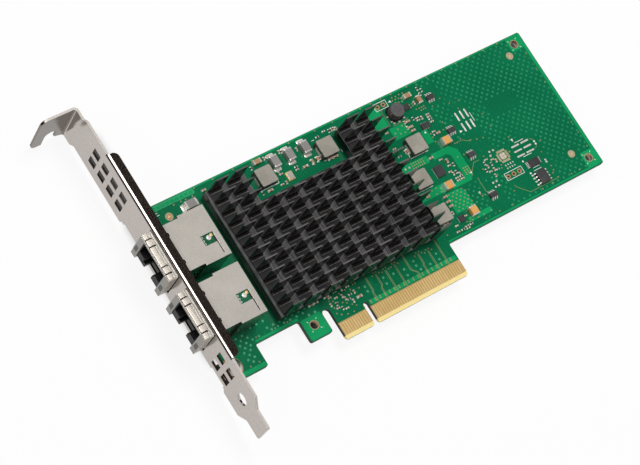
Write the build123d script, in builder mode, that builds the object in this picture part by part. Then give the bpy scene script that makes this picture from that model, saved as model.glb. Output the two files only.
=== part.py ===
from build123d import *
import os

os.makedirs("parts", exist_ok=True)

# A dual-port network interface card: a board with an eight-lane edge connector, a folded
# slot bracket, two shielded jacks, a cross-cut heat sink and the parts of its power supply.
# x runs along the board away from the bracket, y up from the connector's foot, z out of the
# component face. The origin is at the foot of the key notch, in the middle of the board.

# Board
board_thickness = 1.57
board_length = 167.65
board_height = 68.9
board_foot = 12.45
corner_radius = 0.8
bracket_leg_width = 14.0
bracket_leg_foot = 4.7
relief_width = 17.6
relief_top = 12.8
hook_width = 8.7
hook_foot = 4.6
hook_slot_width = 3.0
hook_slot_top = 12.4
hook_hole_inset = 4.1
hook_hole_height = 9.4
tooling_hole_radius = 1.5
end_hole_inset = 4.3
end_hole_edge_gap = 3.5
end_hole_foot_gap = 4.05
header_hole_radius = 0.51
header_pitch = 2.54

# Edge connector
short_tongue = 11.65
key_width = 1.9
key_top = 8.25
long_tongue = 38.65
bevel_height = 1.4
bevel_depth = 0.45
contact_pitch = 1.0
contact_width = 0.7
contact_top = 5.8
contact_thickness = 0.05
contact_key_gap = 0.55
short_contacts = 11
long_contacts = 38

# Bracket
sheet = 0.86
bracket_gap = 1.8
bracket_outer_z = 14.57
bracket_width = 18.42
bracket_tail_foot = -14.6
tail_low_z = 0.0
tail_width = 10.4
tail_shoulder = 3.4
shoulder_y = -4.2
tail_corner = 1.0
tail_hole_radius = 2.35
tail_hole_y = -1.65
tail_hole_z = 5.3
neck_start_y = 99.1
neck_rise = 2.0
neck_shift_top = 1.82
neck_shift_low = 2.15
tab_underside = 105.3
tab_reach = 12.4
tab_drop = 1.4
tab_corner = 2.4
tab_bend_radius = 0.9
screw_slot_width = 4.4
screw_slot_inset = 5.95
screw_slot_end = 1.8
screw_slot_throat = 2.6
flange_low_y = 10.0
flange_high_y = 86.5
flange_reach = 3.7
flange_bend_radius = 0.3
flange_relief = 0.4
flange_corner = 2.0
edge_relief_low_y = 5.2
vent_width = 3.7
vent_height = 3.6
vent_pitch_y = 5.55
vent_pitch_z = 5.8
vent_center_z = 5.0
upper_vents_y = 81.55
upper_vent_rows = 4
lower_vents_y = 9.7
lower_vent_rows = 2
foot_width = 7.2
foot_margin = 4.4

# Bracket screws
screw_radius = 1.25
screw_hole_clearance = 0.35
thread_clearance = 0.05
screw_head_radius = 3.0
screw_crown_radius = 1.9
screw_rim_height = 1.0
screw_head_height = 1.8
screw_tip = 0.8
lower_screw_inset = 2.7
upper_screw_inset = 2.7
lower_screw_share = 0.342
upper_screw_share = 0.477
recess_width = 0.7
recess_span = 2.6
recess_depth = 0.9

# Jacks, two of them one above the other; the share is of the spare height left below them
jack_gap = 3.2
jack_low_share = 0.5826
jack_front = -6.5
jack_step = 7.8
jack_rear = 17.7
jack_height = 13.0
jack_front_width = 17.2
jack_rear_width = 18.7
shield_sheet = 0.3
jack_window_clearance = 0.4
jack_window_low = -0.9
mouth_width = 12.4
mouth_top = 12.0
socket_width = 11.9
socket_floor = 5.2
socket_depth = 12.0
latch_width = 6.2
latch_floor = 2.0
latch_depth = 8.2
latch_notch_width = 4.1
latch_notch_depth = 3.7
lip_recess = 0.75
inner_clearance = 0.05
inner_board_thickness = 0.6
inner_board_side_gap = 1.1
inner_board_start = 3.5
inner_board_end_gap = 1.2
light_width = 1.25
light_height = 3.1
light_foot = 3.45
light_edge_gap = 1.05
light_depth = 3.4
wire_count = 8
wire_pitch = 1.02
wire_width = 0.46
wire_thickness = 0.3
wire_root = 10.8
wire_reach = 6.4
wire_drop = 1.5
collar_sheet = 0.2
collar_start = 0.15
collar_length = 3.3
collar_foot = 2.4
finger_width = 2.2
finger_offset = 5.05
finger_length = 2.2
finger_rise = 0.35
finger_root_x = 1.4
finger_root_radius = 0.9
view_window_start = 10.95
view_window_length = 4.4
view_window_width = 3.65
view_window_offset = -1.9
lid_slit = 0.35
lid_slit_reach = 8.1

# Heat sink
sink_start = 24.65
sink_low_y = 15.63
sink_lift = 1.3
sink_base = 3.5
sink_ledge = 1.38
sink_top_gap = 4.7
fin_height = 9.1
fin_row_pitch = 4.33
fin_root = 0.85
fin_tip = 0.45
fin_columns = 9
fin_column_pitch = 7.7
fin_length = 4.95
ledge_groove = 0.4
cross_cut_depth = 0.4
cutout_first_column = 2
cutout_columns = 5
cutout_rows = 3
cutout_left_margin = 2.15
cutout_right_margin = 0.2
cutout_low_margin = 1.15
boss_side = 4.6
boss_inset_x = 5.0
boss_inset_y = 5.5
sink_screw_radius = 1.0
sink_screw_head_radius = 2.1
sink_screw_head_height = 1.1
sink_screw_grip = 2.4
sink_screw_hole_clearance = 0.4

# Controller under the heat sink
package_side = 25.0
package_thickness = 0.7
die_length = 12.0
die_width = 11.0
pad_thickness = 0.25
pad_side = 16.0

# Parts of the power supply, sizes by kind
supply_length = 32.0
lone_bead_gap = 0.1
lone_bead_edge_gap = 5.4
corner_passive_inset = 2.4
corner_passive_edge_gap = 2.9
coil_length = 6.4
coil_width = 6.5
coil_height = 3.0
coil_foot_width = 3.6
coil_foot_depth = 0.5
coil_foot_height = 1.3
coil_corner = 0.3
bead_length = 4.4
bead_width = 2.8
bead_height = 2.2
bead_cap = 0.6
crystal_length = 3.2
crystal_width = 2.5
crystal_base_height = 0.55
crystal_lid_height = 0.3
crystal_rim = 0.25
drum_base_side = 5.8
drum_base_height = 0.5
drum_base_chamfer = 1.15
drum_radius = 2.6
drum_height = 2.9
drum_waist_radius = 1.5
drum_flange = 0.55
winding_clearance = 0.05
tantalum_length = 3.5
tantalum_width = 2.8
tantalum_height = 1.9
tantalum_terminal = 0.45
small_chip_height = 1.1
small_chip_stand = 0.1
small_chip_lead_width = 0.4
small_chip_lead_length = 0.6
small_chip_lead_thickness = 0.15
small_chip_length = 3.0
small_chip_width = 1.75
small_chip_lead_pitch = 0.95
small_chip_lead_count = 3
memory_length = 5.0
memory_width = 3.9
memory_height = 1.6
memory_chamfer = 0.2
memory_lead_pitch = 1.27
memory_lead_length = 1.05
memory_lead_count = 4
flat_chip_height = 0.9
control_chip_length = 3.2
control_chip_width = 2.1
switch_chip_length = 3.4
switch_chip_width = 4.1
driver_chip_side = 2.2
clock_chip_length = 4.5
clock_chip_width = 2.8
passive_length = 1.6
passive_width = 0.8
passive_height = 0.8
passive_cap = 0.3
large_passive_length = 3.0
large_passive_width = 1.7
large_passive_height = 1.4
large_passive_cap = 0.5

# Places worked out from the driving sizes
leg_to_key = relief_width + hook_width + hook_slot_width + short_tongue + key_width / 2
left_edge = -bracket_leg_width - leg_to_key
right_edge = left_edge + board_length
tongue_start = -key_width / 2 - short_tongue
tongue_end = key_width / 2 + long_tongue
top_face = board_thickness / 2
solder_face = -board_thickness / 2
plate_outer = left_edge - bracket_gap - sheet
plate_inner = left_edge - bracket_gap
bracket_top_z = top_face + bracket_outer_z
bracket_low_z = bracket_top_z - bracket_width
relief_edge_z = solder_face - sheet
jack_width = max(jack_front_width, jack_rear_width)
jack_pitch = jack_width + jack_gap
spare_height = board_height - bracket_leg_foot - jack_width - jack_pitch
jacks_low_y = bracket_leg_foot + jack_low_share * spare_height
jacks_high_y = jacks_low_y + jack_width + jack_pitch
lower_jack_y = jacks_low_y + jack_width / 2
jack_centers = {"lower_jack": lower_jack_y, "upper_jack": lower_jack_y + jack_pitch}
lower_screw_y = bracket_leg_foot + lower_screw_share * (jacks_low_y - bracket_leg_foot)
upper_screw_y = board_height - upper_screw_share * (board_height - jacks_high_y)
fin_rows = 1 + int((board_height - sink_top_gap - sink_low_y - fin_root) / fin_row_pitch)
first_fin = sink_start + sink_ledge
sink_end = first_fin + (fin_columns - 1) * fin_column_pitch + fin_length
sink_high_y = sink_low_y + (fin_rows - 1) * fin_row_pitch + fin_root
sink_bottom_z = top_face + sink_lift
sink_floor_z = sink_bottom_z + sink_base
sink_center_x = left_edge + (sink_start + sink_end) / 2
last_kept_fin = first_fin + (cutout_first_column - 1) * fin_column_pitch
next_kept_fin = first_fin + (cutout_first_column + cutout_columns) * fin_column_pitch
cutout_start = last_kept_fin + fin_length + cutout_left_margin
cutout_end = next_kept_fin - cutout_right_margin
cutout_low_y = sink_low_y + (fin_rows - cutout_rows) * fin_row_pitch - cutout_low_margin
sink_screw_spots = [
    (left_edge + x, y)
    for x in (sink_start + boss_inset_x, sink_end - boss_inset_x)
    for y in (sink_low_y + boss_inset_y, sink_high_y - boss_inset_y)
]
bracket_screw_spots = [
    (left_edge + lower_screw_inset, lower_screw_y),
    (left_edge + upper_screw_inset, upper_screw_y),
]

# Spots of the small parts, as shares of the three areas that they stand in
strip_x = left_edge + cutout_start
strip_length = cutout_end - cutout_start
strip_depth = board_height - cutout_low_y
supply_x = left_edge + sink_end
supply_height = board_height - board_foot
far_x = supply_x + supply_length
far_length = right_edge - far_x


def in_strip(along, down):
    """A spot in the heat sink's cut-out: along it from its left, and down from the top edge."""
    return (strip_x + along * strip_length, board_height - down * strip_depth)


def in_supply(along, up):
    """A spot right of the heat sink: along the supply, and up from the board's foot."""
    return (supply_x + along * supply_length, board_foot + up * supply_height)


def in_far_end(along, up):
    """A spot beyond the supply: along to the far edge, and up from the board's foot."""
    return (far_x + along * far_length, board_foot + up * supply_height)


coil_spots = [
    in_strip(0.1954, 0.5243),
    in_strip(0.8586, 0.5307),
    in_supply(0.3781, 0.6289),
    in_supply(0.1875, 0.4198),
    in_supply(0.1656, 0.1727),
]
bead_spots = [in_strip(along, 0.3042) for along in (0.3599, 0.5167, 0.6864)]
lone_bead_spot = (
    left_edge + jack_rear + lone_bead_gap + bead_length / 2,
    board_height - lone_bead_edge_gap,
)
crystal_spot = in_strip(0.4254, 0.7249)
drum_spot = in_supply(0.3906, 0.8689)
tantalum_spots = [in_supply(0.7438, 0.5722), in_supply(0.4625, 0.3153)]
upright_tantalum_spots = [in_supply(0.5563, 0.1063)]
small_chip_spots = [
    in_supply(0.8813, 0.8636),
    in_supply(0.8813, 0.6174),
    in_supply(0.9281, 0.4243),
    in_supply(0.8844, 0.1391),
]
memory_spot = in_far_end(0.4079, 0.0992)
flat_chips = [
    (in_supply(0.6344, 0.7157), control_chip_length, control_chip_width),
    (in_supply(0.4719, 0.4207), switch_chip_length, switch_chip_width),
    (in_supply(0.3875, 0.0983), driver_chip_side, driver_chip_side),
    (in_supply(0.5563, 0.8716), driver_chip_side, driver_chip_side),
    (in_far_end(0.4126, 0.2037), clock_chip_length, clock_chip_width),
]
level_passives = [
    in_supply(0.4719, 0.7865),
    in_supply(0.4719, 0.7476),
    in_supply(0.4719, 0.7210),
    in_supply(0.7219, 0.6395),
    in_supply(0.4719, 0.5173),
    in_supply(0.1750, 0.3118),
    in_supply(0.3563, 0.2622),
    in_supply(0.3563, 0.2285),
    in_supply(0.3563, 0.1966),
    in_strip(0.5964, 0.6861),
    (left_edge + sink_start + corner_passive_inset, board_height - corner_passive_edge_gap),
]
upright_passives = [
    in_strip(0.6838, 0.6472),
    in_strip(0.7481, 0.6472),
    in_supply(0.6219, 0.4570),
]
level_large_passives = [in_strip(0.2159, 0.1294), in_supply(0.6344, 0.9336)]
upright_large_passives = [in_supply(0.7406, 0.8804)]
pair_header_spot = in_supply(0.2938, 0.9504)
triple_header_spot = in_far_end(0.1967, 0.1975)

# Circuit board
slot_spring = hook_slot_top - hook_slot_width / 2
key_spring = key_top - key_width / 2
leg_end = left_edge + bracket_leg_width
hook_start = leg_end + relief_width
hook_end = hook_start + hook_width
with BuildPart() as circuit_board:
    with BuildSketch(Plane.XY.offset(solder_face)) as board_outline:
        with BuildLine():
            Polyline(
                (hook_end, slot_spring),
                (hook_end, hook_foot),
                (hook_start, hook_foot),
                (hook_start, relief_top),
                (leg_end, relief_top),
                (leg_end, bracket_leg_foot),
                (left_edge, bracket_leg_foot),
                (left_edge, board_height),
                (right_edge, board_height),
                (right_edge, board_foot),
                (tongue_end, board_foot),
                (tongue_end, 0),
                (key_width / 2, 0),
                (key_width / 2, key_spring),
            )
            ThreePointArc((key_width / 2, key_spring), (0, key_top), (-key_width / 2, key_spring))
            Polyline(
                (-key_width / 2, key_spring),
                (-key_width / 2, 0),
                (tongue_start, 0),
                (tongue_start, slot_spring),
            )
            ThreePointArc(
                (tongue_start, slot_spring),
                ((tongue_start + hook_end) / 2, hook_slot_top),
                (hook_end, slot_spring),
            )
        make_face()
        sharp_heights = (slot_spring, key_spring)
        rounded = board_outline.vertices().filter_by(
            lambda v: all(abs(v.Y - h) > 0.01 for h in sharp_heights)
        )
        fillet(rounded, corner_radius)
        with Locations((hook_start + hook_hole_inset, hook_hole_height)):
            Circle(tooling_hole_radius, mode=Mode.SUBTRACT)
        with Locations(
            (right_edge - end_hole_inset, board_height - end_hole_edge_gap),
            (right_edge - end_hole_inset, board_foot + end_hole_foot_gap),
        ):
            Circle(tooling_hole_radius, mode=Mode.SUBTRACT)
        with Locations(*bracket_screw_spots):
            Circle(screw_radius + screw_hole_clearance, mode=Mode.SUBTRACT)
        with Locations(*sink_screw_spots):
            Circle(sink_screw_radius + sink_screw_hole_clearance, mode=Mode.SUBTRACT)
        with Locations(pair_header_spot):
            with GridLocations(header_pitch, header_pitch, 2, 1):
                Circle(header_hole_radius, mode=Mode.SUBTRACT)
        with Locations(triple_header_spot):
            with GridLocations(header_pitch, header_pitch, 3, 1):
                Circle(header_hole_radius, mode=Mode.SUBTRACT)
    extrude(amount=board_thickness)
    with BuildSketch(Plane.YZ.offset(tongue_start)):
        for side in (1, -1):
            with BuildLine():
                Polyline(
                    (0, side * (top_face - bevel_depth)),
                    (bevel_height, side * top_face),
                    (0, side * top_face),
                    close=True,
                )
            make_face()
    extrude(amount=tongue_end - tongue_start, mode=Mode.SUBTRACT)
circuit_board.part.label = "circuit_board"
export_step(circuit_board.part, "parts/circuit_board.step")

# Edge contacts, thin strips from the bevel up
first_contact = key_width / 2 + contact_key_gap + contact_width / 2
short_places = [-first_contact - n * contact_pitch for n in range(short_contacts)]
long_places = [first_contact + n * contact_pitch for n in range(long_contacts)]
contact_y = (bevel_height + contact_top) / 2
for face_name, side in (("front", 1), ("back", -1)):
    contact_z = side * (top_face + contact_thickness / 2)
    with BuildPart() as contacts:
        with Locations(*[(x, contact_y, contact_z) for x in short_places + long_places]):
            Box(contact_width, contact_top - bevel_height, contact_thickness)
    contacts.part.label = "edge_contacts_" + face_name
    export_step(contacts.part, "parts/edge_contacts_" + face_name + ".step")

# Bracket, one folded sheet: plate, tail, screw tab, side flange and two feet under the board
plate_bend = sheet + flange_bend_radius
bend_end = plate_outer + plate_bend
flange_end = plate_outer + flange_reach
flat_top_z = bracket_top_z - plate_bend
flat_low_z = relief_edge_z + plate_bend
neck_top_z = bracket_top_z - neck_shift_top
neck_low_z = bracket_low_z - neck_shift_low
fold_start_y = tab_underside - tab_bend_radius
tail_low = top_face + tail_low_z
foot_spans = [(y - foot_width / 2, y + foot_width / 2) for x, y in bracket_screw_spots]
with BuildPart() as bracket:
    with BuildSketch(Plane.YZ.offset(plate_outer)):
        with BuildLine():
            Polyline(
                (bracket_tail_foot, tail_low),
                (bracket_tail_foot, tail_low + tail_width),
                (shoulder_y - tail_shoulder, tail_low + tail_width),
                (shoulder_y, bracket_top_z),
                (neck_start_y, bracket_top_z),
                (neck_start_y + neck_rise, neck_top_z),
                (fold_start_y, neck_top_z),
                (fold_start_y, neck_low_z),
                (neck_start_y + neck_rise, neck_low_z),
                (neck_start_y, bracket_low_z),
                (shoulder_y, bracket_low_z),
                (shoulder_y - tail_shoulder, tail_low),
                close=True,
            )
        make_face()
        with BuildLine():
            Polyline(
                (edge_relief_low_y, relief_edge_z),
                (board_height, relief_edge_z),
                (board_height + sheet, bracket_low_z),
                (edge_relief_low_y - sheet, bracket_low_z),
                close=True,
            )
        make_face(mode=Mode.SUBTRACT)
        flange_middle = (flange_low_y + flange_high_y) / 2
        flange_span = flange_high_y - flange_low_y
        with Locations((flange_middle, bracket_top_z)):
            Rectangle(flange_span + 2 * flange_relief, 2 * plate_bend, mode=Mode.SUBTRACT)
        for low_y, high_y in foot_spans:
            with Locations(((low_y + high_y) / 2, relief_edge_z)):
                Rectangle(high_y - low_y, 2 * plate_bend, mode=Mode.SUBTRACT)
        for center_y in jack_centers.values():
            window_width = jack_front_width + 2 * jack_window_clearance
            window_top = top_face + jack_height + jack_window_clearance
            window_low = top_face + jack_window_low
            with Locations((center_y, (window_top + window_low) / 2)):
                Rectangle(window_width, window_top - window_low, mode=Mode.SUBTRACT)
        for vents_y, rows in ((upper_vents_y, upper_vent_rows), (lower_vents_y, lower_vent_rows)):
            with Locations((vents_y, top_face + vent_center_z)):
                with GridLocations(vent_pitch_y, vent_pitch_z, rows, 2):
                    Rectangle(vent_height, vent_width, mode=Mode.SUBTRACT)
        with Locations((tail_hole_y, top_face + tail_hole_z)):
            Circle(tail_hole_radius, mode=Mode.SUBTRACT)
    extrude(amount=sheet)
    tail_edges = bracket.edges().filter_by(Axis.X).group_by(Axis.Y)[0]
    fillet(tail_edges, tail_corner)

    # Side flange: an elbow of sheet along y, its far corners rounded
    with BuildSketch(Plane.XZ.offset(-flange_low_y)):
        with BuildLine():
            bend_center = (bend_end, flat_top_z)
            Line((plate_outer, flat_top_z), (plate_inner, flat_top_z))
            CenterArc(bend_center, flange_bend_radius, 180, -90)
            Line((bend_end, bracket_top_z - sheet), (flange_end, bracket_top_z - sheet))
            Line((flange_end, bracket_top_z - sheet), (flange_end, bracket_top_z))
            Line((flange_end, bracket_top_z), (bend_end, bracket_top_z))
            CenterArc(bend_center, plate_bend, 180, -90)
        make_face()
    extrude(amount=-flange_span)
    flange_corners = bracket.edges().filter_by(Axis.Z).filter_by_position(
        Axis.Z, bracket_top_z - sheet, bracket_top_z
    )
    fillet(flange_corners.sort_by(Axis.X)[-2:], flange_corner)

    # Feet: the same elbow, turned in under the board
    for (screw_x, screw_y), (low_y, high_y) in zip(bracket_screw_spots, foot_spans):
        foot_end = screw_x + foot_margin
        with BuildSketch(Plane.XZ.offset(-low_y)):
            with BuildLine():
                bend_center = (bend_end, flat_low_z)
                Line((plate_outer, flat_low_z), (plate_inner, flat_low_z))
                CenterArc(bend_center, flange_bend_radius, 180, 90)
                Line((bend_end, solder_face), (foot_end, solder_face))
                Line((foot_end, solder_face), (foot_end, relief_edge_z))
                Line((foot_end, relief_edge_z), (bend_end, relief_edge_z))
                CenterArc(bend_center, plate_bend, 180, 90)
            make_face()
        extrude(amount=-(high_y - low_y))
        with BuildSketch(Plane.XY.offset(relief_edge_z)):
            with Locations((screw_x, screw_y)):
                Circle(screw_radius + thread_clearance)
        extrude(amount=sheet, mode=Mode.SUBTRACT)

    # Screw tab: folded outwards at the top, then trimmed to its outline with the open screw slot
    tab_low_z = neck_low_z - tab_drop
    tab_top = tab_underside + sheet
    tab_tip = plate_outer - tab_reach
    fold_end = plate_outer - tab_bend_radius
    with BuildSketch(Plane.XY.offset(tab_low_z)):
        with BuildLine():
            fold_center = (fold_end, fold_start_y)
            CenterArc(fold_center, tab_bend_radius, 0, 90)
            Line((fold_end, tab_underside), (tab_tip, tab_underside))
            Line((tab_tip, tab_underside), (tab_tip, tab_top))
            Line((tab_tip, tab_top), (fold_end, tab_top))
            CenterArc(fold_center, tab_bend_radius + sheet, 90, -90)
            Line((plate_inner, fold_start_y), (plate_outer, fold_start_y))
        make_face()
    extrude(amount=neck_top_z - tab_low_z)
    slot_near = plate_outer - screw_slot_inset + screw_slot_width / 2
    slot_far = plate_outer - screw_slot_inset - screw_slot_width / 2
    slot_end_z = neck_low_z + screw_slot_throat + screw_slot_end
    trim_low_z = tab_low_z - sheet
    with BuildSketch(Plane.XZ.offset(-fold_start_y)):
        with BuildLine():
            Polyline(
                (slot_near, slot_end_z),
                (slot_near, neck_low_z + screw_slot_throat / 2),
                (fold_end, neck_low_z),
                (plate_inner, neck_low_z),
                (plate_inner, trim_low_z),
                (slot_far, trim_low_z),
                (slot_far, slot_end_z),
            )
            ThreePointArc(
                (slot_far, slot_end_z),
                (plate_outer - screw_slot_inset, slot_end_z + screw_slot_width / 2),
                (slot_near, slot_end_z),
            )
        make_face()
    extrude(amount=-(tab_bend_radius + sheet), mode=Mode.SUBTRACT)
    tip_corners = bracket.edges().filter_by(Axis.Y).group_by(Axis.X)[0]
    fillet(tip_corners, tab_corner)
bracket.part.label = "bracket"
export_step(bracket.part, "parts/bracket.step")

# Bracket screws with low crowned heads and a cross recess
with BuildPart() as bracket_screws:
    with BuildSketch(Plane.XZ) as screw_section:
        with BuildLine():
            Polyline(
                (0, relief_edge_z - screw_tip),
                (screw_radius, relief_edge_z - screw_tip),
                (screw_radius, top_face),
                (screw_head_radius, top_face),
                (screw_head_radius, top_face + screw_rim_height),
                (screw_crown_radius, top_face + screw_head_height),
                (0, top_face + screw_head_height),
                close=True,
            )
        make_face()
    screw_body = revolve(screw_section.sketch, axis=Axis.Z, mode=Mode.PRIVATE)
    with Locations(*[(x, y, 0) for x, y in bracket_screw_spots]):
        add(screw_body)
    with Locations(*[(x, y, top_face + screw_head_height) for x, y in bracket_screw_spots]):
        Box(recess_span, recess_width, 2 * recess_depth, mode=Mode.SUBTRACT)
        Box(recess_width, recess_span, 2 * recess_depth, mode=Mode.SUBTRACT)
bracket_screws.part.label = "bracket_screws"
export_step(bracket_screws.part, "parts/bracket_screws.step")

# Jacks: a stamped shield round a moulded insert with its wires, an inner board, two light
# pipes and a spring collar at the mouth
low_corner = (Align.MIN, Align.CENTER, Align.MIN)
front_x = left_edge + jack_front
step_x = left_edge + jack_step
rear_x = left_edge + jack_rear
front_depth = jack_step - jack_front
rear_depth = jack_rear - jack_step
board_seat = jack_height - shield_sheet - inner_clearance - inner_board_thickness
insert_front = front_x + shield_sheet + inner_clearance
insert_width = jack_front_width - 2 * shield_sheet - 2 * inner_clearance
insert_rear_width = jack_rear_width - 2 * shield_sheet - 2 * inner_clearance
insert_end = rear_x - shield_sheet - inner_clearance
inner_board_width = jack_front_width - 2 * inner_board_side_gap
light_offset = jack_front_width / 2 - light_edge_gap
inner_board_x = front_x + inner_board_start
inner_board_length = insert_end - inner_board_end_gap - inner_board_x
for jack_name, center_y in jack_centers.items():
    with BuildPart() as shield:
        with Locations((front_x, center_y, top_face)):
            Box(front_depth, jack_front_width, jack_height, align=low_corner)
        with Locations((step_x, center_y, top_face)):
            Box(rear_depth, jack_rear_width, jack_height, align=low_corner)
        with Locations((front_x + shield_sheet, center_y, top_face)):
            Box(
                front_depth,
                jack_front_width - 2 * shield_sheet,
                jack_height - shield_sheet,
                align=low_corner,
                mode=Mode.SUBTRACT,
            )
        with Locations((step_x + shield_sheet, center_y, top_face)):
            Box(
                rear_depth - 2 * shield_sheet,
                jack_rear_width - 2 * shield_sheet,
                jack_height - shield_sheet,
                align=low_corner,
                mode=Mode.SUBTRACT,
            )
        with Locations((front_x, center_y, top_face)):
            Box(shield_sheet, mouth_width, mouth_top, align=low_corner, mode=Mode.SUBTRACT)
        light_spots = [center_y - light_offset, center_y + light_offset]
        with Locations(*[(front_x, y, top_face + light_foot - inner_clearance) for y in light_spots]):
            Box(
                shield_sheet,
                light_width + 2 * inner_clearance,
                light_height + 2 * inner_clearance,
                align=low_corner,
                mode=Mode.SUBTRACT,
            )
        lid_z = top_face + jack_height - shield_sheet
        window_y = center_y + view_window_offset
        with Locations((left_edge + view_window_start, window_y, lid_z)):
            Box(view_window_length, view_window_width, shield_sheet, align=low_corner, mode=Mode.SUBTRACT)
        slit_x = left_edge + view_window_start + view_window_length
        slit_low = center_y - lid_slit_reach
        slit_span = window_y + view_window_width / 2 - slit_low
        with Locations((slit_x, slit_low + slit_span / 2, lid_z)):
            Box(lid_slit, slit_span, shield_sheet, align=low_corner, mode=Mode.SUBTRACT)
        root_spots = [(left_edge + finger_root_x, center_y + s * finger_offset, lid_z) for s in (1, -1)]
        with Locations(*root_spots):
            Cylinder(
                finger_root_radius,
                shield_sheet,
                align=(Align.CENTER, Align.CENTER, Align.MIN),
                mode=Mode.SUBTRACT,
            )
    shield.part.label = jack_name + "_shield"
    export_step(shield.part, "parts/" + jack_name + "_shield.step")

    with BuildPart() as insert:
        insert_foot = top_face + inner_clearance
        with Locations((insert_front, center_y, insert_foot)):
            Box(
                step_x + shield_sheet - insert_front,
                insert_width,
                jack_height - shield_sheet - 2 * inner_clearance,
                align=low_corner,
            )
        with Locations((step_x + shield_sheet + inner_clearance, center_y, insert_foot)):
            Box(
                insert_end - step_x - shield_sheet - inner_clearance,
                insert_rear_width,
                board_seat - inner_clearance,
                align=low_corner,
            )
        with Locations((step_x + shield_sheet, center_y, insert_foot)):
            Box(inner_clearance, insert_width, board_seat - inner_clearance, align=low_corner)
        with Locations((inner_board_x - inner_clearance, center_y, top_face + board_seat)):
            Box(
                inner_board_length + 2 * inner_clearance,
                inner_board_width + 2 * inner_clearance,
                jack_height,
                align=low_corner,
                mode=Mode.SUBTRACT,
            )
        with Locations((insert_front, center_y, top_face + socket_floor)):
            Box(socket_depth, socket_width, board_seat - socket_floor, align=low_corner, mode=Mode.SUBTRACT)
        with Locations((insert_front, center_y, top_face + latch_floor)):
            Box(latch_depth, latch_width, socket_floor - latch_floor, align=low_corner, mode=Mode.SUBTRACT)
        with Locations((insert_front, center_y, top_face)):
            Box(latch_notch_depth, latch_notch_width, latch_floor, align=low_corner, mode=Mode.SUBTRACT)
            Box(lip_recess, mouth_width, latch_floor, align=low_corner, mode=Mode.SUBTRACT)
        with Locations(*[(insert_front, y, top_face + light_foot - inner_clearance) for y in light_spots]):
            Box(
                light_depth,
                light_width + 2 * inner_clearance,
                light_height + 2 * inner_clearance,
                align=low_corner,
                mode=Mode.SUBTRACT,
            )
    insert.part.label = jack_name + "_insert"
    export_step(insert.part, "parts/" + jack_name + "_insert.step")

    # Sprung wires: each leaves the inner board's underside and slopes forward into the socket
    with BuildPart() as wires:
        wire_top = top_face + board_seat
        root_x = front_x + wire_root
        tip_x = root_x - wire_reach
        wire_planes = [
            Plane.XZ.offset(-(center_y + (n - (wire_count - 1) / 2) * wire_pitch + wire_width / 2))
            for n in range(wire_count)
        ]
        with BuildSketch(*wire_planes):
            with BuildLine():
                Polyline(
                    (root_x, wire_top),
                    (root_x, wire_top - wire_thickness),
                    (tip_x, wire_top - wire_drop - wire_thickness),
                    (tip_x - wire_thickness, wire_top - wire_drop),
                    (tip_x, wire_top - wire_drop),
                    (root_x - wire_thickness, wire_top),
                    close=True,
                )
            make_face()
        extrude(amount=wire_width)
    wires.part.label = jack_name + "_wires"
    export_step(wires.part, "parts/" + jack_name + "_wires.step")

    with BuildPart() as inner_board:
        with Locations((inner_board_x, center_y, top_face + board_seat)):
            Box(inner_board_length, inner_board_width, inner_board_thickness, align=low_corner)
    inner_board.part.label = jack_name + "_inner_board"
    export_step(inner_board.part, "parts/" + jack_name + "_inner_board.step")

    with BuildPart() as lights:
        with Locations(*[(front_x, y, top_face + light_foot) for y in light_spots]):
            Box(light_depth, light_width, light_height, align=low_corner)
    lights.part.label = jack_name + "_lights"
    export_step(lights.part, "parts/" + jack_name + "_lights.step")

    # Collar: a thin strap over the mouth's top and sides, with two sprung fingers on top
    with BuildPart() as collar:
        collar_x = front_x + collar_start
        with BuildSketch(Plane.YZ.offset(collar_x)):
            with Locations((center_y, top_face + (collar_foot + jack_height + collar_sheet) / 2)):
                Rectangle(jack_front_width + 2 * collar_sheet, jack_height + collar_sheet - collar_foot)
            with Locations((center_y, top_face + jack_height / 2)):
                Rectangle(jack_front_width, jack_height, mode=Mode.SUBTRACT)
        extrude(amount=collar_length)
        finger_z = top_face + jack_height + collar_sheet
        finger_sides = [center_y + s * finger_offset + finger_width / 2 for s in (1, -1)]
        with BuildSketch(*[Plane.XZ.offset(-y) for y in finger_sides]):
            with BuildLine():
                ThreePointArc(
                    (collar_x, finger_z),
                    (collar_x + finger_length / 2, finger_z + finger_rise),
                    (collar_x + finger_length, finger_z),
                )
                Line((collar_x + finger_length, finger_z), (collar_x, finger_z))
            make_face()
        extrude(amount=finger_width)
    collar.part.label = jack_name + "_collar"
    export_step(collar.part, "parts/" + jack_name + "_collar.step")

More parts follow.
